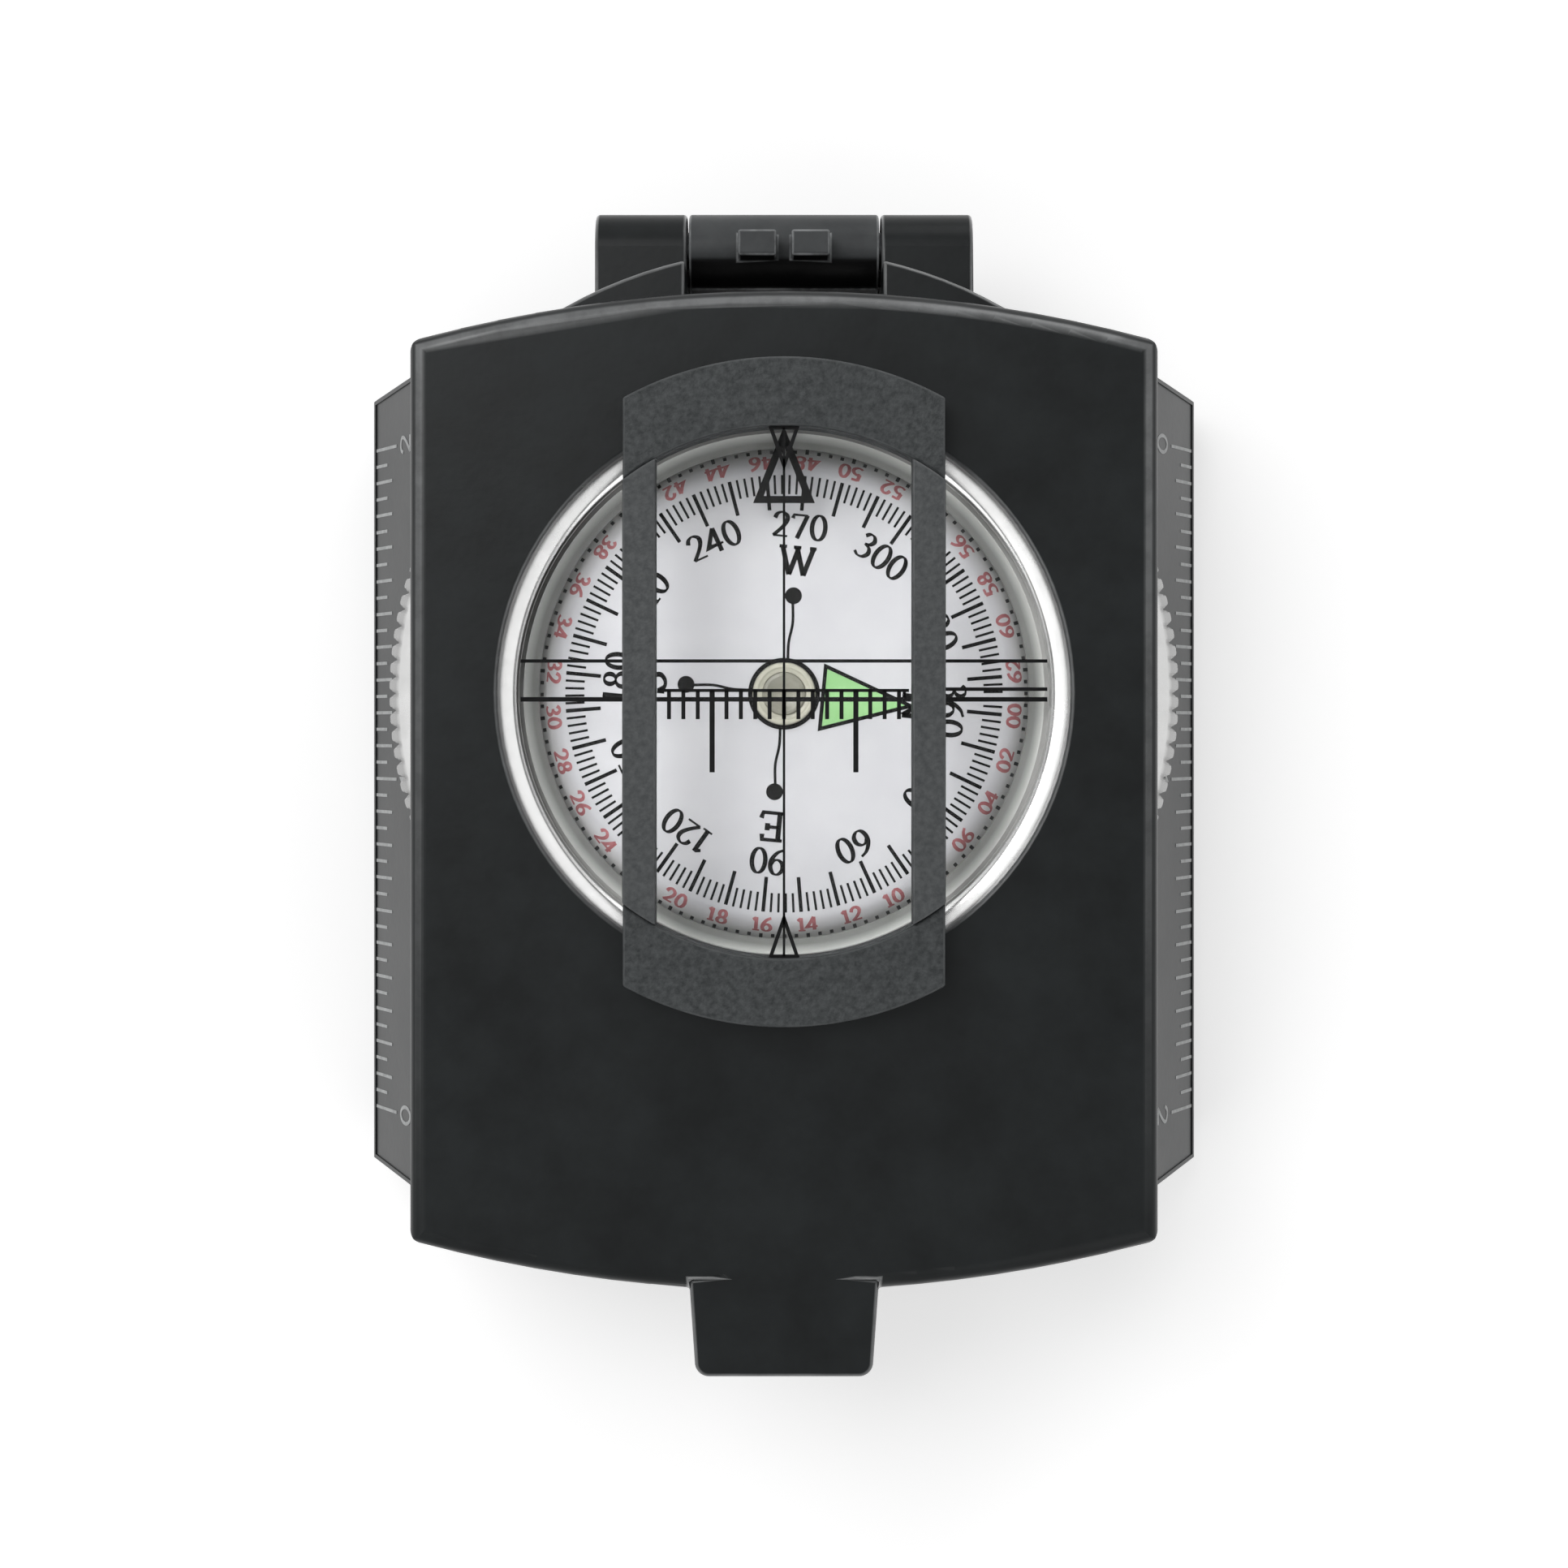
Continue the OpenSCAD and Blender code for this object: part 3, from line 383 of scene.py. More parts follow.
def blend(tree, factor, low, high, kind="MIX"):
    # colour from low to high by the factor; each is a socket or red, green and blue
    low, high = [c if isinstance(c, bpy.types.NodeSocket) else (*c, 1) for c in (low, high)]
    node = put(tree, "ShaderNodeMix", {"Factor": factor, "A": low, "B": high}, data_type="RGBA",
               blend_type=kind)
    return node.outputs["Result"]


def noise(tree, vector, scale, detail=2.0, rough=0.5):
    # layered noise round 0.5
    node = put(tree, "ShaderNodeTexNoise", {"Vector": vector, "Scale": scale, "Detail": detail,
                                            "Roughness": rough})
    return node.outputs["Fac"]


def fromAxis(tree, vector):
    # the parts of a vector, and its distance from the Z axis: the length of (x, y, 0)
    parts = put(tree, "ShaderNodeSeparateXYZ", {"Vector": vector}).outputs
    flat = put(tree, "ShaderNodeCombineXYZ", {"X": parts["X"], "Y": parts["Y"], "Z": 0.0})
    away = put(tree, "ShaderNodeVectorMath", {0: flat.outputs["Vector"]}, operation="LENGTH")
    return parts, away.outputs["Value"]


def newGroup(name, values, results):
    # an empty shader group that takes a vector and these values; its sockets to read and to fill
    group = bpy.data.node_groups.new(name, "ShaderNodeTree")
    sockets = group.interface
    sockets.new_socket("Vector", in_out="INPUT", socket_type="NodeSocketVector")
    for label, value in values.items():
        sockets.new_socket(label, in_out="INPUT", socket_type="NodeSocketFloat").default_value = value
    for label in results:
        sockets.new_socket(label, in_out="OUTPUT", socket_type="NodeSocketFloat")
    return group, put(group, "NodeGroupInput").outputs, put(group, "NodeGroupOutput").inputs


def grainGroup():
    # fine grain for bump, and a coarser mottle for colour
    group, take, give = newGroup("grain", {"Fine": 2500.0, "Coarse": 250.0}, ["Height", "Mottle"])
    group.links.new(noise(group, take["Vector"], take["Fine"], detail=3.0, rough=0.6), give["Height"])
    coarse = noise(group, take["Vector"], take["Coarse"], detail=5.0, rough=0.62)
    group.links.new(ramp(group, coarse, start=0.33, end=0.67), give["Mottle"])
    return group


def edgeGroup():
    # mask of abraded edges and painted edge highlight: the rounded strips, broken up by noise
    group, take, give = newGroup("edgeWearAndHighlight", {"Edge": 0.0, "Least": 0.3}, ["Mask"])
    chips = noise(group, take["Vector"], scale=420.0, detail=5.0, rough=0.65)
    broken = ramp(group, chips, start=0.36, end=0.62, low=take["Least"])
    group.links.new(calc(group, "MULTIPLY", take["Edge"], broken), give["Mask"])
    return group


def smudgeGroup():
    # slow change of sheen, as handled paint and glass show
    group, take, give = newGroup("smudge", {"Low": 0.3, "High": 0.5, "Scale": 90.0}, ["Value"])
    patches = noise(group, take["Vector"], take["Scale"], detail=6.0, rough=0.65)
    sheen = ramp(group, patches, start=0.3, end=0.7, low=take["Low"], high=take["High"])
    group.links.new(sheen, give["Value"])
    return group


def turnedGroup():
    # lathe lines: noise read by the distance from the turning axis (Z of the vector) and the height
    group, take, give = newGroup("turnedLines", {"Scale": 9000.0}, ["Height"])
    parts, away = fromAxis(group, take["Vector"])
    polar = put(group, "ShaderNodeCombineXYZ", {"X": away, "Y": 0.0, "Z": parts["Z"]})
    group.links.new(noise(group, polar.outputs["Vector"], take["Scale"]), give["Height"])
    return group


grain, edgeWearAndHighlight, smudge, turnedLines = grainGroup(), edgeGroup(), smudgeGroup(), turnedGroup()


def useGroup(tree, group, values):
    # the outputs of a group node with these inputs
    return put(tree, "ShaderNodeGroup", values, node_tree=group).outputs


def startMaterial(name):
    # an empty material, its node tree and the Object coordinates
    material = bpy.data.materials.new(name)
    material.use_nodes = True
    tree = material.node_tree
    tree.nodes.clear()
    return material, tree, put(tree, "ShaderNodeTexCoord").outputs["Object"]


def showSurface(tree, shader):
    # wires the last shader to the material's output
    put(tree, "ShaderNodeOutputMaterial", {"Surface": shader.outputs[0]})


def drifting(tree, place, look):
    # roughness that changes slowly between the look's two values
    low, high = look["rough"]
    return useGroup(tree, smudge, {"Vector": place, "Low": low, "High": high,
                                   "Scale": look["smudge"]})["Value"]


def bumped(tree, height, look, **also):
    # the normal, tilted where the height changes
    node = put(tree, "ShaderNodeBump", {"Height": height, "Distance": look["depth"] * mm,
                                        "Strength": look["bump"], **also})
    return node.outputs["Normal"]


paintUsual = {"least": 0.3, "smudge": 90, "bump": 0.5, "specular": 0.5}


def paint(name, look):
    # sprayed or moulded finish: mottled colour, orange-peel bump, lighter abraded edges that are partly a
    # painted highlight; "rim" paints light and shade by the radius, "before" a painted shade on one side,
    # "gloss" a film
    look = {**paintUsual, **look}
    material, tree, place = startMaterial(name)
    grit = useGroup(tree, grain, {"Vector": place, "Fine": look["fine"], "Coarse": look["coarse"]})
    edge = put(tree, "ShaderNodeAttribute", attribute_name="edge").outputs["Fac"]
    wearAndHighlight = useGroup(tree, edgeWearAndHighlight, {"Vector": place, "Edge": edge, "Least": look["least"]})
    colour = blend(tree, grit["Mottle"], look["dark"], look["light"])
    if "rim" in look:
        # painted light and shade from the inner to the outer radius, by the distance from the Z axis
        inner, outer, shade = look["rim"]
        away = fromAxis(tree, place)[1]
        colour = blend(tree, ramp(tree, away, inner * mm, outer * mm), colour, shade)
    if "before" in look:
        # painted shade on the side that faces -Y, up to a line across the piece
        start, end, shade = look["before"]
        y = put(tree, "ShaderNodeSeparateXYZ", {"Vector": place}).outputs["Y"]
        colour = blend(tree, ramp(tree, y, end * mm, start * mm), colour, shade)
    film = {}
    if "gloss" in look:
        # on the rounded edges, and on the flanks by the distance from the YZ plane
        onEdge, onFlank, inner, outer, rough = look["gloss"]
        x = put(tree, "ShaderNodeSeparateXYZ", {"Vector": place}).outputs["X"]
        flank = ramp(tree, calc(tree, "ABSOLUTE", x), inner * mm, outer * mm, 0.0, onFlank)
        film["Coat Weight"] = calc(tree, "MAXIMUM", calc(tree, "MULTIPLY", edge, onEdge), flank)
        film["Coat Roughness"] = rough
    # the lighter colour on the rounded strips is partly a painted highlight
    showSurface(tree, put(tree, "ShaderNodeBsdfPrincipled", {
        "Base Color": blend(tree, wearAndHighlight["Mask"], colour, look["wornAndHighlight"]),
        "Roughness": drifting(tree, place, look), "Normal": bumped(tree, grit["Height"], look),
        "Specular IOR Level": look["specular"], **film}))
    return material


metalUsual = {"centre": (0, 0, 0), "turn": (0, 0, 0), "lines": 6000, "mottle": 400, "smudge": 250,
              "bump": 0.4, "edge": 0.1, "metallic": 1.0}
alongX = (0, math.pi / 2, 0)  # the turn that lays the lathe lines round an axis along X


def turnedMetal(name, look):
    # bare metal with lathe lines round its axis, which goes through the centre, and rounded edges
    look = {**metalUsual, **look}
    material, tree, place = startMaterial(name)
    centred = put(tree, "ShaderNodeMapping", {"Vector": place, "Location": [-c * mm for c in look["centre"]]})
    aligned = put(tree, "ShaderNodeMapping", {"Vector": centred.outputs["Vector"], "Rotation": look["turn"]})
    lines = useGroup(tree, turnedLines, {"Vector": aligned.outputs["Vector"], "Scale": look["lines"]})
    grit = useGroup(tree, grain, {"Vector": place, "Coarse": look["mottle"]})
    colour = blend(tree, grit["Mottle"], look["dark"], look["light"])
    if "knurl" in look:
        # duller on the cone and on the crests of the knurled band, with painted shade in its grooves
        crest, groove = look["knurl"]
        band = put(tree, "ShaderNodeAttribute", attribute_name="knurl")
        shades = put(tree, "ShaderNodeValToRGB", {"Fac": band.outputs["Fac"]})
        shades.color_ramp.elements[0].color = (1, 1, 1, 1)
        shades.color_ramp.elements[1].color = (groove, groove, groove, 1)
        shades.color_ramp.elements.new(0.5).color = (crest, crest, crest, 1)
        colour = blend(tree, 1.0, colour, shades.outputs["Color"], "MULTIPLY")
    rounded = put(tree, "ShaderNodeBevel", {"Radius": look["edge"] * mm}, samples=4)
    showSurface(tree, put(tree, "ShaderNodeBsdfPrincipled", {
        "Base Color": colour, "Roughness": drifting(tree, place, look), "Metallic": look["metallic"],
        "Normal": bumped(tree, lines["Height"], look, Normal=rounded.outputs["Normal"])}))
    return material


def clearGlass(name, look):
    # polished glass; lamps shine through it on to what lies below
    material, tree, place = startMaterial(name)
    tint = (*look["tint"], 1)
    glass = put(tree, "ShaderNodeBsdfPrincipled", {
        "Base Color": tint, "Roughness": drifting(tree, place, look), "Transmission Weight": 1.0,
        "IOR": look["ior"]})
    clear = put(tree, "ShaderNodeBsdfTransparent", {"Color": tint})
    shadow = put(tree, "ShaderNodeLightPath").outputs["Is Shadow Ray"]
    showSurface(tree, put(tree, "ShaderNodeMixShader", {0: shadow, 1: glass.outputs[0], 2: clear.outputs[0]}))
    return material


inkUsual = {"fine": 6000, "coarse": 1800, "depth": 0.01, "bump": 0.3, "specular": 0.3}


def ink(name, look):
    # printed or filled line: slightly uneven density
    look = {**inkUsual, **look}
    material, tree, place = startMaterial(name)
    grit = useGroup(tree, grain, {"Vector": place, "Fine": look["fine"], "Coarse": look["coarse"]})
    showSurface(tree, put(tree, "ShaderNodeBsdfPrincipled", {
        "Base Color": blend(tree, grit["Mottle"], look["dark"], look["light"]), "Roughness": look["rough"],
        "Normal": bumped(tree, grit["Height"], look), "Specular IOR Level": look["specular"]}))
    return material


# the lighter colours of the rounded edges are abrasion and a painted highlight together
caseLook = {"dark": (0.0038, 0.0050, 0.0054), "light": (0.0092, 0.0114, 0.0122), "fine": 1700,
            "coarse": 180, "rough": (0.28, 0.4), "depth": 0.03, "bump": 0.3, "specular": 0.17}
casePaint = paint("casePaint", {**caseLook, "wornAndHighlight": (0.125, 0.130, 0.132),
                                "gloss": (0.0, 0.36, 24.6, 25.4, 0.34)})
# the lid's edges are lighter and more evenly covered than the case's, as a painted highlight
lidPaint = paint("lidPaint", {**caseLook, "wornAndHighlight": (0.14, 0.145, 0.147), "least": 0.55,
                              "gloss": (1.0, 0.0, 24.6, 25.4, 0.34)})
hingeLook = {"dark": (0.040, 0.043, 0.045), "light": (0.058, 0.062, 0.064), "wornAndHighlight": (0.27, 0.28, 0.285),
             "fine": 2200, "coarse": 300, "rough": (0.34, 0.46), "depth": 0.03, "bump": 0.35,
             "specular": 0.2}
hingePaint = paint("hingePaint", hingeLook)
# the barrel's side towards the lid is painted near black: a painted shade for the gap there
blockPaintAndShade = paint("blockPaintAndShade", {**hingeLook, "before": (31.9, 32.15, (0.0022, 0.0022, 0.0024))})
sightLook = {"fine": 4200, "coarse": 2300, "rough": (0.4, 0.55), "specular": 0.24}
framePaint = paint("framePaint", {
    **sightLook, "dark": (0.019, 0.022, 0.023), "light": (0.060, 0.065, 0.067),
    "wornAndHighlight": (0.085, 0.09, 0.092), "depth": 0.08, "bump": 0.8})
railPaint = paint("railPaint", {
    **sightLook, "dark": (0.045, 0.049, 0.051), "light": (0.082, 0.087, 0.089),
    "wornAndHighlight": (0.13, 0.135, 0.138), "depth": 0.06, "bump": 0.7})
loopPaint = paint("loopPaint", {
    "dark": (0.008, 0.009, 0.0095), "light": (0.014, 0.0155, 0.016), "wornAndHighlight": (0.07, 0.073, 0.075),
    "fine": 2600, "coarse": 260, "rough": (0.3, 0.42), "depth": 0.025, "bump": 0.35, "specular": 0.3})
knobPlastic = paint("knobPlastic", {
    "dark": (0.006, 0.006, 0.0065), "light": (0.011, 0.011, 0.012), "wornAndHighlight": (0.03, 0.03, 0.031),
    "fine": 3000, "coarse": 420, "rough": (0.36, 0.5), "depth": 0.02, "bump": 0.3, "specular": 0.3})
rubberSeal = paint("rubberSeal", {
    "dark": (0.74, 0.74, 0.73), "light": (0.80, 0.80, 0.79), "wornAndHighlight": (0.82, 0.82, 0.82),
    "fine": 4000, "coarse": 500, "rough": (0.7, 0.8), "depth": 0.02})
cupPlastic = paint("cupPlastic", {
    "dark": (0.74, 0.75, 0.73), "light": (0.80, 0.81, 0.79), "wornAndHighlight": (0.84, 0.84, 0.83),
    "fine": 2000, "coarse": 200, "rough": (0.18, 0.3), "depth": 0.01})
# the lip's colour is a painted shade: dark at its inner edge, lighter towards its outer radius
lipPlasticAndShade = paint("lipPlasticAndShade", {
    "dark": (0.20, 0.205, 0.195), "light": (0.25, 0.255, 0.245), "wornAndHighlight": (0.6, 0.6, 0.59),
    "rim": (18.25, 18.95, (0.58, 0.59, 0.57)), "fine": 2000, "coarse": 200, "rough": (0.3, 0.42),
    "depth": 0.01})
# the skirt is painted lighter from 16.5 to 17.7 mm out: painted light on the deep, shaded skirt
cardFace = paint("cardFace", {
    "dark": (0.575, 0.575, 0.605), "light": (0.635, 0.635, 0.66), "wornAndHighlight": (0.66, 0.66, 0.67),
    "rim": (16.5, 17.7, (0.82, 0.82, 0.82)), "fine": 5000, "coarse": 160, "rough": (0.42, 0.55),
    "depth": 0.008})
jewelLook = {"fine": 3000, "coarse": 500, "rough": (0.2, 0.32), "depth": 0.01}
jewelIvory = paint("jewelIvory", {
    **jewelLook, "dark": (0.52, 0.51, 0.42), "light": (0.60, 0.59, 0.49), "wornAndHighlight": (0.66, 0.65, 0.56)})
jewelStone = paint("jewelStone", {
    **jewelLook, "dark": (0.24, 0.235, 0.19), "light": (0.31, 0.305, 0.25), "wornAndHighlight": (0.5, 0.49, 0.42)})
# the knurled band's grooves are darkened as a painted shade
brightAlloy = turnedMetal("brightAlloy", {
    "dark": (0.86, 0.86, 0.855), "light": (0.95, 0.95, 0.945), "rough": (0.2, 0.3), "depth": 0.005,
    "metallic": 0.9, "knurl": (0.5, 0.32)})
satinAlloy = turnedMetal("satinAlloy", {
    "dark": (0.66, 0.66, 0.65), "light": (0.74, 0.74, 0.73), "rough": (0.4, 0.55), "depth": 0.005,
    "metallic": 0.2})
turnedSteel = turnedMetal("turnedSteel", {
    "dark": (0.46, 0.47, 0.48), "light": (0.58, 0.59, 0.60), "rough": (0.26, 0.4), "lines": 7000,
    "depth": 0.01})
darkLook = {"dark": (0.05, 0.052, 0.055), "light": (0.085, 0.088, 0.092), "turn": alongX, "depth": 0.01}
darkSteel = turnedMetal("darkSteel", {**darkLook, "centre": (0, *hingeAxis), "rough": (0.3, 0.42)})
pinSteel = turnedMetal("pinSteel", {**darkLook, "centre": (0, 32.4, 4.7), "rough": (0.26, 0.38)})
turnedBrass = turnedMetal("turnedBrass", {
    "dark": (0.62, 0.45, 0.20), "light": (0.74, 0.56, 0.28), "centre": (0, -30, 0),
    "rough": (0.24, 0.38), "depth": 0.012})
magnetSteel = turnedMetal("magnetSteel", {
    "dark": (0.24, 0.25, 0.26), "light": (0.34, 0.35, 0.36), "rough": (0.34, 0.5), "lines": 5000,
    "depth": 0.01})
lensGlass = clearGlass("lensGlass", {"tint": (0.995, 0.996, 0.995), "rough": (0.0, 0.02), "smudge": 140,
                                     "ior": 1.1})
blackInk = ink("blackInk", {"dark": (0.004, 0.004, 0.004), "light": (0.009, 0.009, 0.0095), "rough": 0.5,
                            "specular": 0.1})
greyInk = ink("greyInk", {"dark": (0.03, 0.03, 0.032), "light": (0.055, 0.055, 0.057), "rough": 0.5})
redInk = ink("redInk", {"dark": (0.38, 0.12, 0.13), "light": (0.50, 0.21, 0.22), "rough": 0.5})
greenInk = ink("greenInk", {"dark": (0.285, 0.585, 0.235), "light": (0.35, 0.64, 0.29), "rough": 0.45,
                            "coarse": 300})
rulerInk = ink("rulerInk", {"dark": (0.38, 0.39, 0.39), "light": (0.54, 0.55, 0.55), "rough": 0.55})
print("materials ready")


edgeRounds = {  # node: (new name, rounding, least turn in degrees, finish, body, slot)
    "base_body": ("baseCasting", 0.22, 35, casePaint, "base", "case_black"),
    "bottom_cover": ("bottomPlate", 0.2, 35, casePaint, "base", "case_black"),
    "hinge_block": ("hingeCasting", 0.2, 35, blockPaintAndShade, "base", "hinge_grey"),
    "lid_shell": ("lidCasting", 0.28, 65, lidPaint, "lid", "case_black"),
    "sight_frame": ("sightBridge", 0.18, 35, framePaint, "lid", "frame_grey"),
    "sight_rails": ("sightStrips", 0.15, 35, railPaint, "lid", "frame_grey"),
    "eyepiece_tube": ("eyepieceSleeve", 0.12, 35, hingePaint, "base", "hinge_grey"),
    "thumb_loop": ("thumbBail", 0.4, 50, loopPaint, "loop", "loop_black"),
}
# the roof's rounding, where the lid gets a painted highlight: lowest and highest Z, the mask's rise and fall
# there, the radius round the window that stays clear, and the Y where it ends
lidRoof = {"low": 25.12, "rise": 0.15, "high": 25.495, "fall": 0.06, "clear": 23.0, "front": -37.8}
edgeExtras = {"lid_shell": {"roof": lidRoof}, "thumb_loop": {"merge": 0.05}}
for node, row in edgeRounds.items():
    softened(node, *row, **edgeExtras.get(node, {}))

carried = [  # finish and the CAD nodes that are shown with it as they are
    (turnedSteel, ["cover_screws", "block_screws", "sight_screws", "bezel_clip"]),
    (lensGlass, ["crystal", "sight_glass", "bezel_glass", "eyepiece_lens"]),
    (turnedBrass, ["tripod_bush", "pivot_post"]), (rubberSeal, ["capsule_gasket"]),
    (cupPlastic, ["capsule_cup"]), (magnetSteel, ["dial_magnet"]), (satinAlloy, ["bezel_glass_ring"]),
    (hingePaint, ["lens_barrel"]), (pinSteel, ["loop_pins"]),
]
for finish, nodes in carried:
    for node in nodes:
        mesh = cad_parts[node].data
        mesh.materials.clear()
        mesh.materials.append(finish)
print("case and carried pieces finished")


bezel = {"teeth": 144, "perTooth": 8, "crest": 28.7, "depth": 0.5, "flank": 0.27, "low": 14.8, "high": 19.1,
         "chamfer": 0.4, "coneInner": 21.3, "coneFoot": 19.2, "smooth": 24}
ringProfile = np.array(
    [(22.15, 14.15), (27.6, 14.15), (27.75, 14.25), (28.1, 14.7)]
    + [(bezel["crest"], z) for z in (bezel["low"], 15.0, 15.2, 16.0, 17.0, 17.9, 18.7, 18.9, bezel["high"])]
    + [(27.9, 19.3), (27.4, 19.5), (25.5, 20.27), (23.5, 21.07), (22.2, 21.58), (21.5, 21.83), (21.05, 21.98),
       (20.8, 22.06), (20.6, 22.1), (20.4, 22.1), (20.1, 22.08), (19.8, 22.05), (19.55, 22.02), (19.4, 21.97),
       (19.2, 21.8), (19.2, 21.7), (19.9, 21.7), (19.9, 20.45), (22.15, 20.45)])


def toothCrest(angle):
    # 1 along the crest of each tooth, falling in a V to 0 at each groove
    tooth = (angle * bezel["teeth"] / (2 * np.pi)) % 1.0
    return np.clip(np.minimum(tooth, 1 - tooth) / bezel["flank"], 0, 1)[:, None]


def knurlRadius(angle, profile):
    # the band's radius falls from crest to root at each groove, and at both ends of the teeth
    radius, z = profile.T
    fade = np.clip(np.minimum(z - bezel["low"], bezel["high"] - z) / bezel["chamfer"], 0, 1)
    dip = bezel["depth"] * (1 - np.minimum(toothCrest(angle), fade))
    return radius - np.where(radius == bezel["crest"], dip, 0)


turns = bezel["teeth"] * bezel["perTooth"]
points, faces = revolve(ringProfile, turns, knurlRadius)
ring = makePiece("knurledBezel", points, faces, brightAlloy, "bezel", "bright_alloy", ["bezel_ring"],
                 bezel["smooth"])
# point attribute of tone: 0 on the polished rim, 0.25 on the cone, 0.5 on the crests, 1 in the grooves as
# painted shade
radius, z = ringProfile.T
onCone = (radius > bezel["coneInner"]) & (z > bezel["coneFoot"])
crest = toothCrest(np.arange(turns) * 2 * np.pi / turns)
knurl = np.where(radius == bezel["crest"], 1 - 0.5 * crest, np.where(onCone, 0.25, 0))
ring.data.attributes.new("knurl", "FLOAT", "POINT").data.foreach_set("value", knurl.ravel())

# rows are (Y, first X, width)
bezelLines = {"z": 21.7, "end": 18.9,
              "rows": [(2.3, -18.9, 0.24), (-0.45, -18.9, 0.33), (0.28, 11.5, 0.26)]}
strokes = [straight((start, y), (bezelLines["end"], y), width) for y, start, width in bezelLines["rows"]]
printed("bezelIndexLines", strokes, level(bezelLines["z"]), blackInk, "bezel", "rubber")
print("bezel ready")


dial = {"face": 17.3, "north": -5.5}  # height of the card, and where its arrow points (degrees from +X)
skirt = smoothLine([(16.0, 17.3), (16.5, 17.27), (16.95, 17.08), (17.4, 16.65), (17.8, 15.95), (18.15, 14.9),
                    (18.35, 13.4), (18.42, 11.5), (18.42, 9.12)], perSpan=4)
cardProfile = np.vstack([[(1.9, 16.8), (16.0, 16.8), (17.3, 15.4), (17.9, 12.5), (17.95, 9.1), (18.35, 9.1)],
                         skirt[::-1], [(12.0, 17.3), (7.0, 17.3), (2.2, 17.3), (1.9, 17.3)]])
makePiece("dialDisc", *revolve(cardProfile), cardFace, "dial", "card_white", ["dial_card"])

hubProfile = [(0, 16.9), (2.28, 16.9), (2.3, 17.75), (2.22, 17.93), (2.08, 18.0), (1.95, 17.99), (1.86, 17.9),
              (1.72, 17.84), (0, 17.84)]
makePiece("dialHub", *spindle(hubProfile), jewelIvory, "dial", "jewel_ivory")
jewelProfile = [(0, 15.3), (1.5, 15.3), (1.55, 17.0), (1.6, 17.95), (1.5, 18.1), (1.3, 18.16), (1.1, 18.1),
                (0.95, 18.02), (0.5, 18.0), (0, 18.0)]
makePiece("jewelCup", *spindle(jewelProfile), jewelStone, "dial", "jewel_ivory", ["dial_jewel"])


def dialPlace(degrees, radius=0):
    # puts flat points on the card at a bearing, with their up pointing outwards
    a = math.radians(dial["north"] - degrees)
    out, right = np.array([math.cos(a), math.sin(a), 0]), np.array([math.sin(a), -math.cos(a), 0])
    return onPlane(out * radius + [0, 0, dial["face"]], right, out)


# lines are (inner radius, width), numbers and letters (radius, height) and dots (radius, radius of the dot)
degreeScale = {"outer": 16.0, "short": (14.6, 0.17), "long": (13.45, 0.27), "number": (12.3, 1.8),
               "letter": (9.75, 2.05), "pens": (0.08, 0.12), "dot": (7.2, 0.62),
               "stem": [(0, 6.7), (0.14, 5.2), (-0.02, 3.8), (0.05, 2.35)], "stemLine": 0.2}
shells = []
for degrees in range(0, 360, 2):
    inner, width = degreeScale["long" if degrees % 10 == 0 else "short"]
    shells += marks([straight((0, inner), (0, degreeScale["outer"]), width)], dialPlace(degrees))
at, size = degreeScale["number"]
for degrees in range(30, 361, 30):
    shells += marks(lettering(str(degrees), size), dialPlace(degrees, at))
at, size = degreeScale["letter"]
for degrees, letter in ((0, "N"), (90, "E"), (180, "S"), (270, "W")):
    shells += marks(lettering(letter, size, serifGlyphs, *degreeScale["pens"]), dialPlace(degrees, at))
at, size = degreeScale["dot"]
for degrees in (90, 180, 270):
    place = dialPlace(degrees)
    points, faces = plate(circleLine(0, at, size))
    shells.append((place(points), faces))
    stem = smoothLine(degreeScale["stem"], perSpan=5)
    shells += marks([(stem, degreeScale["stemLine"], False)], place)

# the arrow's outline and the hub's circle stand higher than the other lines
arrow = {"base": 2.85, "halfWidth": 2.3, "tip": 9.3, "line": 0.28, "thick": 0.03}
circle = {"radius": 2.46, "line": 0.34, "thick": 0.05}
half, base = arrow["halfWidth"], arrow["base"]
outline = np.array([(-half, base), (half, base), (0, arrow["tip"])])
shells += marks([(outline, arrow["line"], True)], dialPlace(0), arrow["thick"])
hubCircle = circleLine(0, 0, circle["radius"], count=64)
shells += marks([(hubCircle, circle["line"], True)], dialPlace(0), circle["thick"])
makePiece("dialPrint", *joined(shells), blackInk, "dial", "card_white")
points, faces = plate(outline)
makePiece("northArrow", dialPlace(0)(points), faces, greenInk, "dial", "card_white")

milScale = {"numbers": 32, "perNumber": 4, "number": 1.05, "height": 1.2, "pens": (0.1, 0.15),
            "tickStart": 2.1, "longEnd": 3.5, "shortEnd": 2.8, "line": 0.26, "bends": 6}
skirtRun = np.concatenate([[0], np.cumsum(np.linalg.norm(np.diff(skirt, axis=0), axis=1))])
skirtTurn = np.gradient(skirt, skirtRun, axis=0)


def skirtPlace(degrees, down=0):
    # v runs up the curve of the skirt from a point down it, u goes round it and w off it
    def place(p):
        run = down - p[:, 1]
        at = [np.interp(run, skirtRun, skirt[:, k]) for k in (0, 1)]
        along = [np.interp(run, skirtRun, skirtTurn[:, k]) for k in (0, 1)]
        radius = at[0] - along[1] * p[:, 2]
        height = at[1] + along[0] * p[:, 2]
        a = math.radians(dial["north"] - degrees) + p[:, 0] / radius
        return np.stack([radius * np.cos(a), radius * np.sin(a), height], -1)
    return place


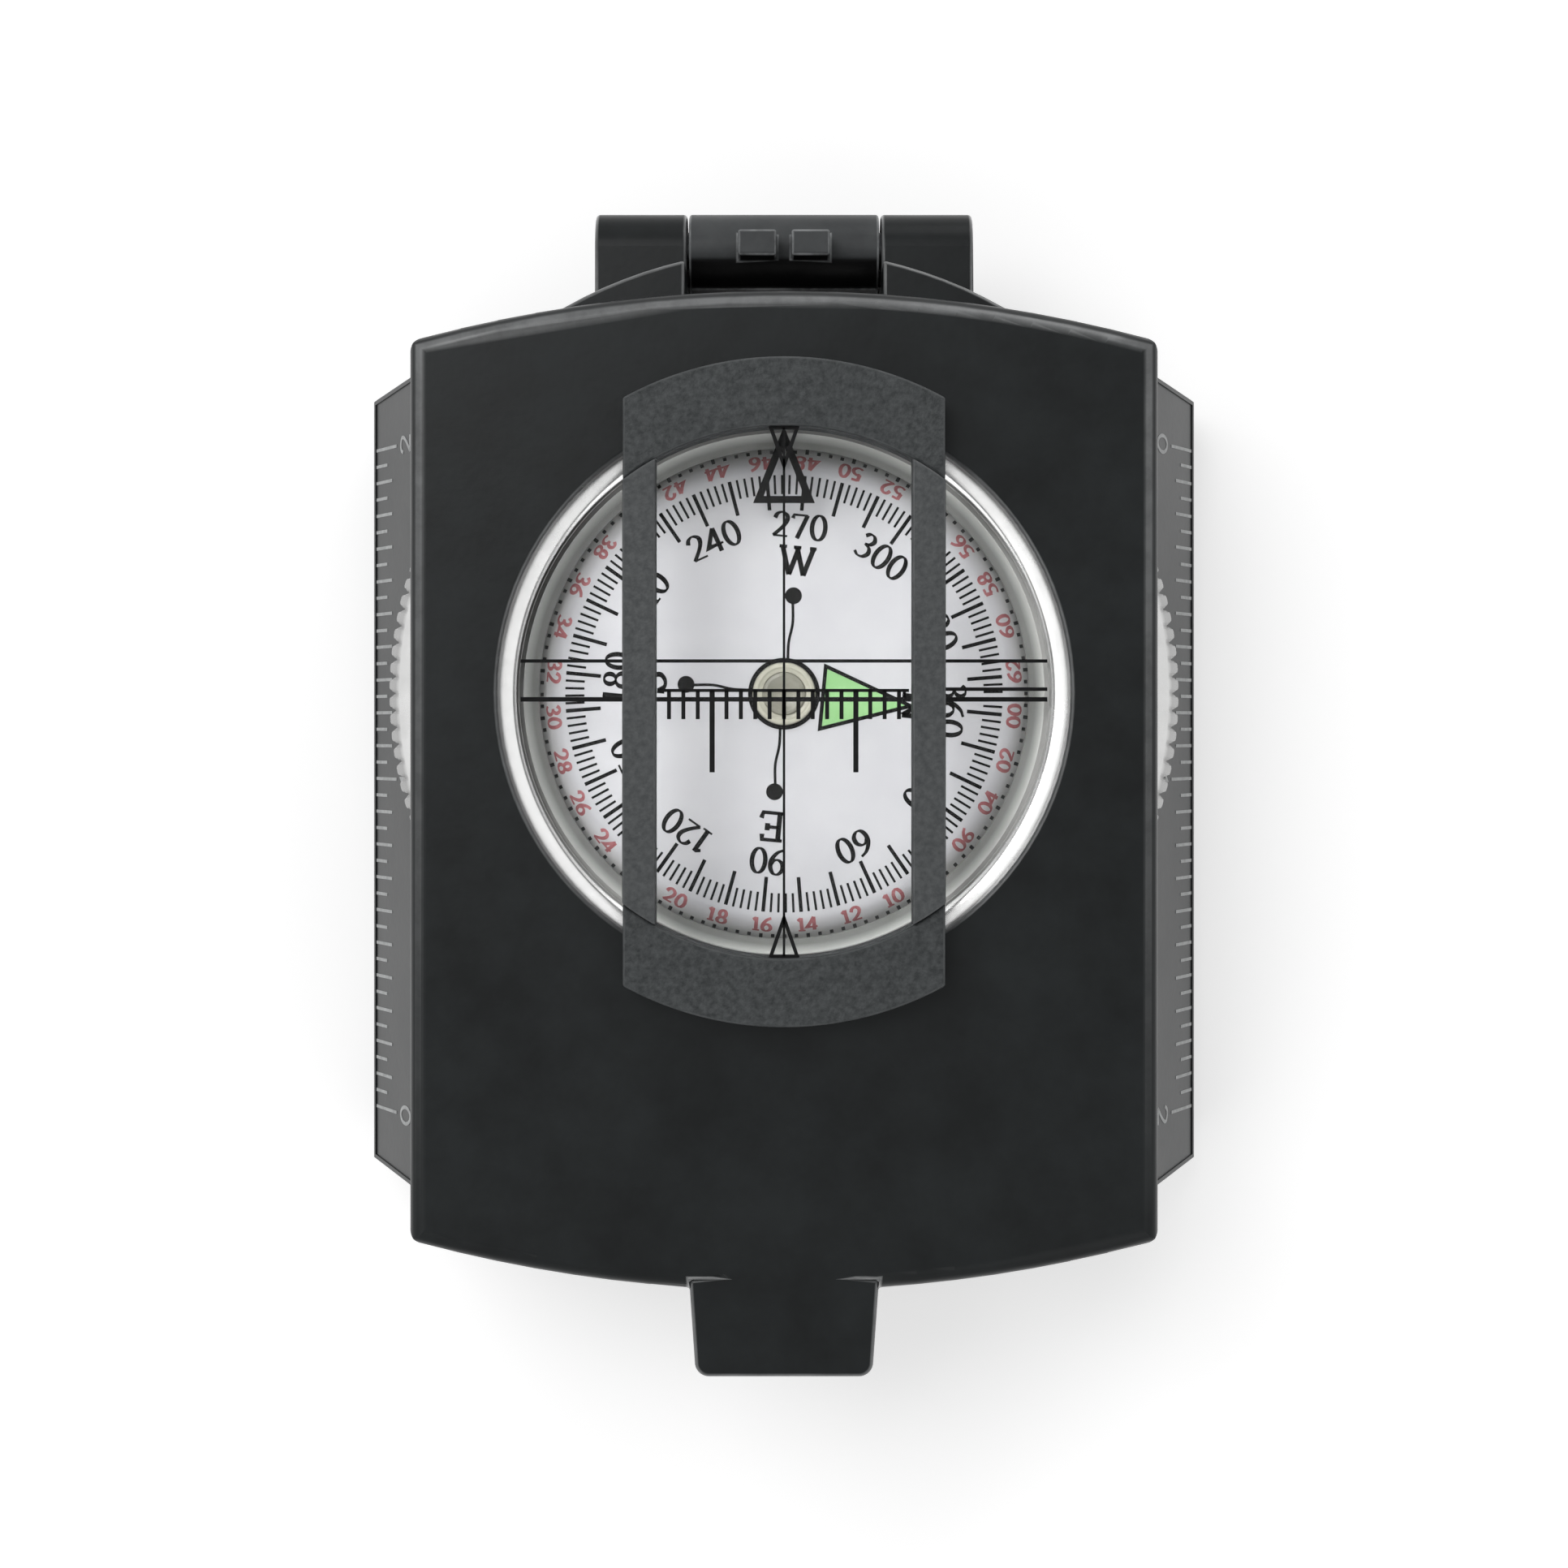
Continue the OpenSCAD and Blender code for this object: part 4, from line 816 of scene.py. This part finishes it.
reds, darks = [], []
for k in range(milScale["numbers"]):
    number = lettering("%02d" % (2 * k), milScale["height"], serifGlyphs, *milScale["pens"], perSpan=3,
                       parts=3)
    reds += marks(number, skirtPlace(k * 360 / milScale["numbers"], milScale["number"]))
ticks = milScale["numbers"] * milScale["perNumber"]
for k in range(ticks):
    end = milScale["longEnd" if k % milScale["perNumber"] == 0 else "shortEnd"]
    v = np.linspace(-end, -milScale["tickStart"], milScale["bends"])
    path = np.stack([np.zeros(len(v)), v], -1)
    darks += marks([(path, milScale["line"], False)], skirtPlace(k * 360 / ticks))
makePiece("milNumbers", *joined(reds), redInk, "dial", "card_white")
makePiece("milTicks", *joined(darks), greyInk, "dial", "card_white")

lipProfile = [(17.85, 18.0), (17.9, 18.12), (18.2, 18.45), (18.55, 18.75), (18.85, 18.95), (19.0, 19.0),
              (19.0, 17.3), (18.85, 17.3), (18.5, 17.9)]
makePiece("capsuleLip", *revolve(lipProfile), lipPlasticAndShade, "base", "capsule_grey")

crystalMark = {"z": 20.1, "apex": 18.6, "base": 14.0, "halfWidth": 1.85, "line": 0.52}
half, base = crystalMark["halfWidth"], crystalMark["base"]
outline = np.array([(half, base), (0, crystalMark["apex"]), (-half, base)])
printed("lubberMark", [(outline, crystalMark["line"], True)], level(crystalMark["z"]), blackInk, "base",
        "rubber")
print("dial ready")


# short and long ticks are (length, width)
sight = {"z": 28.4, "reach": 18.4, "hair": 0.17, "zero": 0.1, "span": 8.7, "line": 0.22, "ticks": 8,
         "every": 1.0, "short": (2.0, 0.28), "long": (5.7, 0.36), "longAt": 5, "pointHalf": 0.92,
         "pointLong": 2.65, "pointLine": 0.26}
strokes = [straight((0, -sight["reach"]), (0, sight["reach"]), sight["hair"]),
           straight((-sight["span"], sight["zero"]), (sight["span"], sight["zero"]), sight["line"])]
for k in range(-sight["ticks"], sight["ticks"] + 1):
    length, width = sight["long" if abs(k) == sight["longAt"] else "short"]
    x = k * sight["every"]
    strokes.append(straight((x, sight["zero"] - length), (x, sight["zero"]), width))
for side in (1, -1):
    half, base, tip = sight["pointHalf"], side * sight["reach"], side * (sight["reach"] - sight["pointLong"])
    pointer = np.array([(-half, base), (half, base), (0, tip)])
    strokes.append((pointer, sight["pointLine"], True))
printed("sightMarks", strokes, level(sight["z"]), blackInk, "lid", "rubber")


# the rib slopes from (topX, topZ) to (lowX, lowZ); the zero is at +Y on the +X side, at -Y on the other
ruler = {"zero": 19.0, "pitch": 1.27, "units": 2, "perUnit": 20, "unit": 4.75, "even": 3.7, "odd": 2.55,
         "foot": 0.45, "line": 0.24, "digitGap": 1.0, "digitHeight": 2.15, "pens": (0.075, 0.085),
         "thick": 0.03, "topX": 26.7, "topZ": 13.85, "lowX": 31.8, "lowZ": 3.4}
border = {"topEnds": (-24.0, 37.0), "lowEnds": (-22.7, 35.7), "topIn": 0.45, "lowIn": 0.22, "line": 0.3,
          "thick": 0.1}
slope = np.array([ruler["lowX"] - ruler["topX"], 0, ruler["lowZ"] - ruler["topZ"]])
slopeLength = np.linalg.norm(slope)
scaleLength = ruler["units"] * ruler["perUnit"] * ruler["pitch"]
foot = slopeLength - ruler["foot"]
for side, name in ((1, "rulerRight"), (-1, "rulerLeft")):
    down = slope * [side, 1, 1] / slopeLength
    top = np.array([side * ruler["topX"], 0, ruler["topZ"]])
    place = onPlane(top, (0, -side, 0), down)
    start = -ruler["zero"] if side > 0 else ruler["zero"] - scaleLength
    strokes = []
    for k in range(ruler["units"] * ruler["perUnit"] + 1):
        length = ruler["unit" if k % ruler["perUnit"] == 0 else "even" if k % 2 == 0 else "odd"]
        u = start + k * ruler["pitch"]
        strokes.append(straight((u, foot - length), (u, foot), ruler["line"]))
        if k % ruler["perUnit"] == 0:
            digit = lettering(str(k // ruler["perUnit"]), ruler["digitHeight"], plainGlyphs, *ruler["pens"])
            v = foot - ruler["unit"] - ruler["digitGap"] - ruler["digitHeight"] / 2
            strokes += [(path + [u, v], width, closed) for path, width, closed in digit]
    printed(name, strokes, place, rulerInk, "base", "case_black", ruler["thick"])
    topV, lowV = border["topIn"], slopeLength - border["lowIn"]
    outline = np.array([(border["topEnds"][0], topV), (border["lowEnds"][0], lowV),
                        (border["lowEnds"][1], lowV), (border["topEnds"][1], topV)])
    if side < 0:
        outline = outline[::-1] * [-1, 1]
    printed(name + "Border", [(outline, border["line"], True)], place, casePaint, "base", "case_black",
            border["thick"])
print("marks ready")


knob = {"ridges": 38, "perRidge": 10, "depth": 0.42, "flank": 0.3, "bow": 0.8, "core": 6.2, "y": 43.0,
        "z": 9.7, "smooth": 35}


def ridgeRadius(angle, profile):
    # flat-topped ridges with narrow grooves; only the skin outside the core and off the foot is cut
    radius, z = profile.T
    ridge = (angle * knob["ridges"] / (2 * np.pi)) % 1.0
    groove = np.clip(1 - np.minimum(ridge, 1 - ridge) / knob["flank"], 0, 1)[:, None] ** knob["bow"]
    return radius - np.where((radius > knob["core"]) & (z > 0), knob["depth"] * groove, 0)


knobProfile = [(6.1, 0.0), (6.3, 0.0), (6.55, 0.15), (6.7, 0.5), (6.7, 1.5), (6.7, 3.2), (6.7, 4.35),
               (6.6, 4.75), (6.38, 5.08), (6.1, 5.25), (5.8, 5.3), (5.1, 5.3), (4.85, 5.22), (4.05, 4.5),
               (4.0, 4.4), (4.0, 4.0), (5.25, 4.0), (5.25, 0.65), (6.1, 0.65)]
points, faces = revolve(knobProfile, knob["ridges"] * knob["perRidge"], ridgeRadius)
points = np.stack([points[..., 0], -knob["y"] - points[..., 2], knob["z"] + points[..., 1]], -1)
makePiece("focusKnob", points, faces, knobPlastic, "focus", "knob_black", ["focus_ring"], knob["smooth"])

pinProfile = [(0, -14.0), (0.5, -13.97), (0.95, -13.86), (1.18, -13.66), (1.2, -13.3), (1.4, -13.2),
              (1.4, 13.2), (1.2, 13.3), (1.18, 13.66), (0.95, 13.86), (0.5, 13.97), (0, 14.0)]
points, faces = spindle(pinProfile, turns=48)
points = np.stack([points[..., 2], hingeAxis[0] + points[..., 0], hingeAxis[1] + points[..., 1]], -1)
makePiece("hingeRod", points, faces, darkSteel, "base", "dark_steel", ["hinge_pin"])
print("knob and pins ready")


def seenRays(tree):
    # 1 for rays from the camera, reflections and glass, and 0 for those that only carry light
    path = put(tree, "ShaderNodeLightPath").outputs
    seen = calc(tree, "ADD", path["Is Camera Ray"], path["Is Glossy Ray"], use_clamp=True)
    return calc(tree, "ADD", seen, path["Is Transmission Ray"], use_clamp=True)


# floor: height (mm), size (m), colour and glow, the radii (m) between which it runs into the surround;
# and the strength of the surround as a light
stageLook = {"floor": -2.45, "size": 1.6, "pale": (0.80, 0.80, 0.80), "rough": 0.8, "lift": 0.46,
             "near": 0.13, "far": 0.42, "surround": 0.3}
half = stageLook["size"] / 2
mesh = bpy.data.meshes.new("paleFloor")
corners = [(-half, -half), (half, -half), (half, half), (-half, half)]
mesh.from_pydata([(x, y, stageLook["floor"] * mm) for x, y in corners], [], [(0, 1, 2, 3)])
floor = linked("paleFloor", mesh)
material, tree, place = startMaterial("paleFloor")
# further out the lit colour fades and the glow takes over
away = put(tree, "ShaderNodeVectorMath", {0: place}, operation="LENGTH").outputs["Value"]
fade = ramp(tree, away, stageLook["near"], stageLook["far"], interpolation_type="SMOOTHSTEP")
lit = put(tree, "ShaderNodeBsdfPrincipled", {"Base Color": blend(tree, fade, stageLook["pale"], (0, 0, 0)),
                                             "Roughness": stageLook["rough"]})
lift = calc(tree, "MULTIPLY", seenRays(tree), ramp(tree, fade, 0, 1, stageLook["lift"]))
glow = put(tree, "ShaderNodeEmission", {"Color": (1, 1, 1, 1), "Strength": lift})
both = put(tree, "ShaderNodeAddShader", {0: lit.outputs[0], 1: glow.outputs[0]})
# see-through from below, so that the underside can be looked at
below = put(tree, "ShaderNodeNewGeometry").outputs["Backfacing"]
clear = put(tree, "ShaderNodeBsdfTransparent")
showSurface(tree, put(tree, "ShaderNodeMixShader", {0: below, 1: both.outputs[0], 2: clear.outputs[0]}))
mesh.materials.append(material)

world = bpy.data.worlds.new("studio")
bpy.context.scene.world = world
world.use_nodes = True
tree = world.node_tree
tree.nodes.clear()
strength = ramp(tree, seenRays(tree), 0, 1, stageLook["surround"])
back = put(tree, "ShaderNodeBackground", {"Color": (1, 1, 1, 1), "Strength": strength})
put(tree, "ShaderNodeOutputWorld", {"Surface": back.outputs[0]})

lamps = {  # place (mm), size (mm), watts
    "keyLamp": ((-237, 237, 640), 380, 1.8),
    "hingeLamp": ((140, 400, 190), 240, 0.4),
    "leftLamp": ((-250, -200, 310), 260, 0.24),
    "frontLamp": ((200, -260, 310), 260, 0.2),
}
aim = (0, 0, 15)  # the point they all face (mm)
for name, (at, size, watts) in lamps.items():
    lamp = bpy.data.lights.new(name, "AREA")
    lamp.shape = "SQUARE"
    lamp.size = size * mm
    lamp.energy = watts
    holder = linked(name, lamp)
    holder.location = [c * mm for c in at]
    # turned so that the lamp's -Z looks from its place to its aim
    away = np.array(at, float) - aim
    holder.rotation_euler = (math.acos(away[2] / np.linalg.norm(away)), 0, math.atan2(away[0], -away[1]))

# sensor and lens in mm; near and far limits in metres
shot = {"height": 240.5, "y": -2.7, "lens": 70.0, "sensor": 36, "shift": -0.034, "near": 0.005, "far": 20}
camera = linked("topCamera", bpy.data.cameras.new("topCamera"))
camera.location = (0, shot["y"] * mm, shot["height"] * mm)
camera.data.lens = shot["lens"]
camera.data.sensor_width = shot["sensor"]
camera.data.shift_y = shot["shift"]
camera.data.clip_start = shot["near"]
camera.data.clip_end = shot["far"]
bpy.context.scene.camera = camera
bpy.context.scene.view_settings.view_transform = "Standard"
print("stage ready")
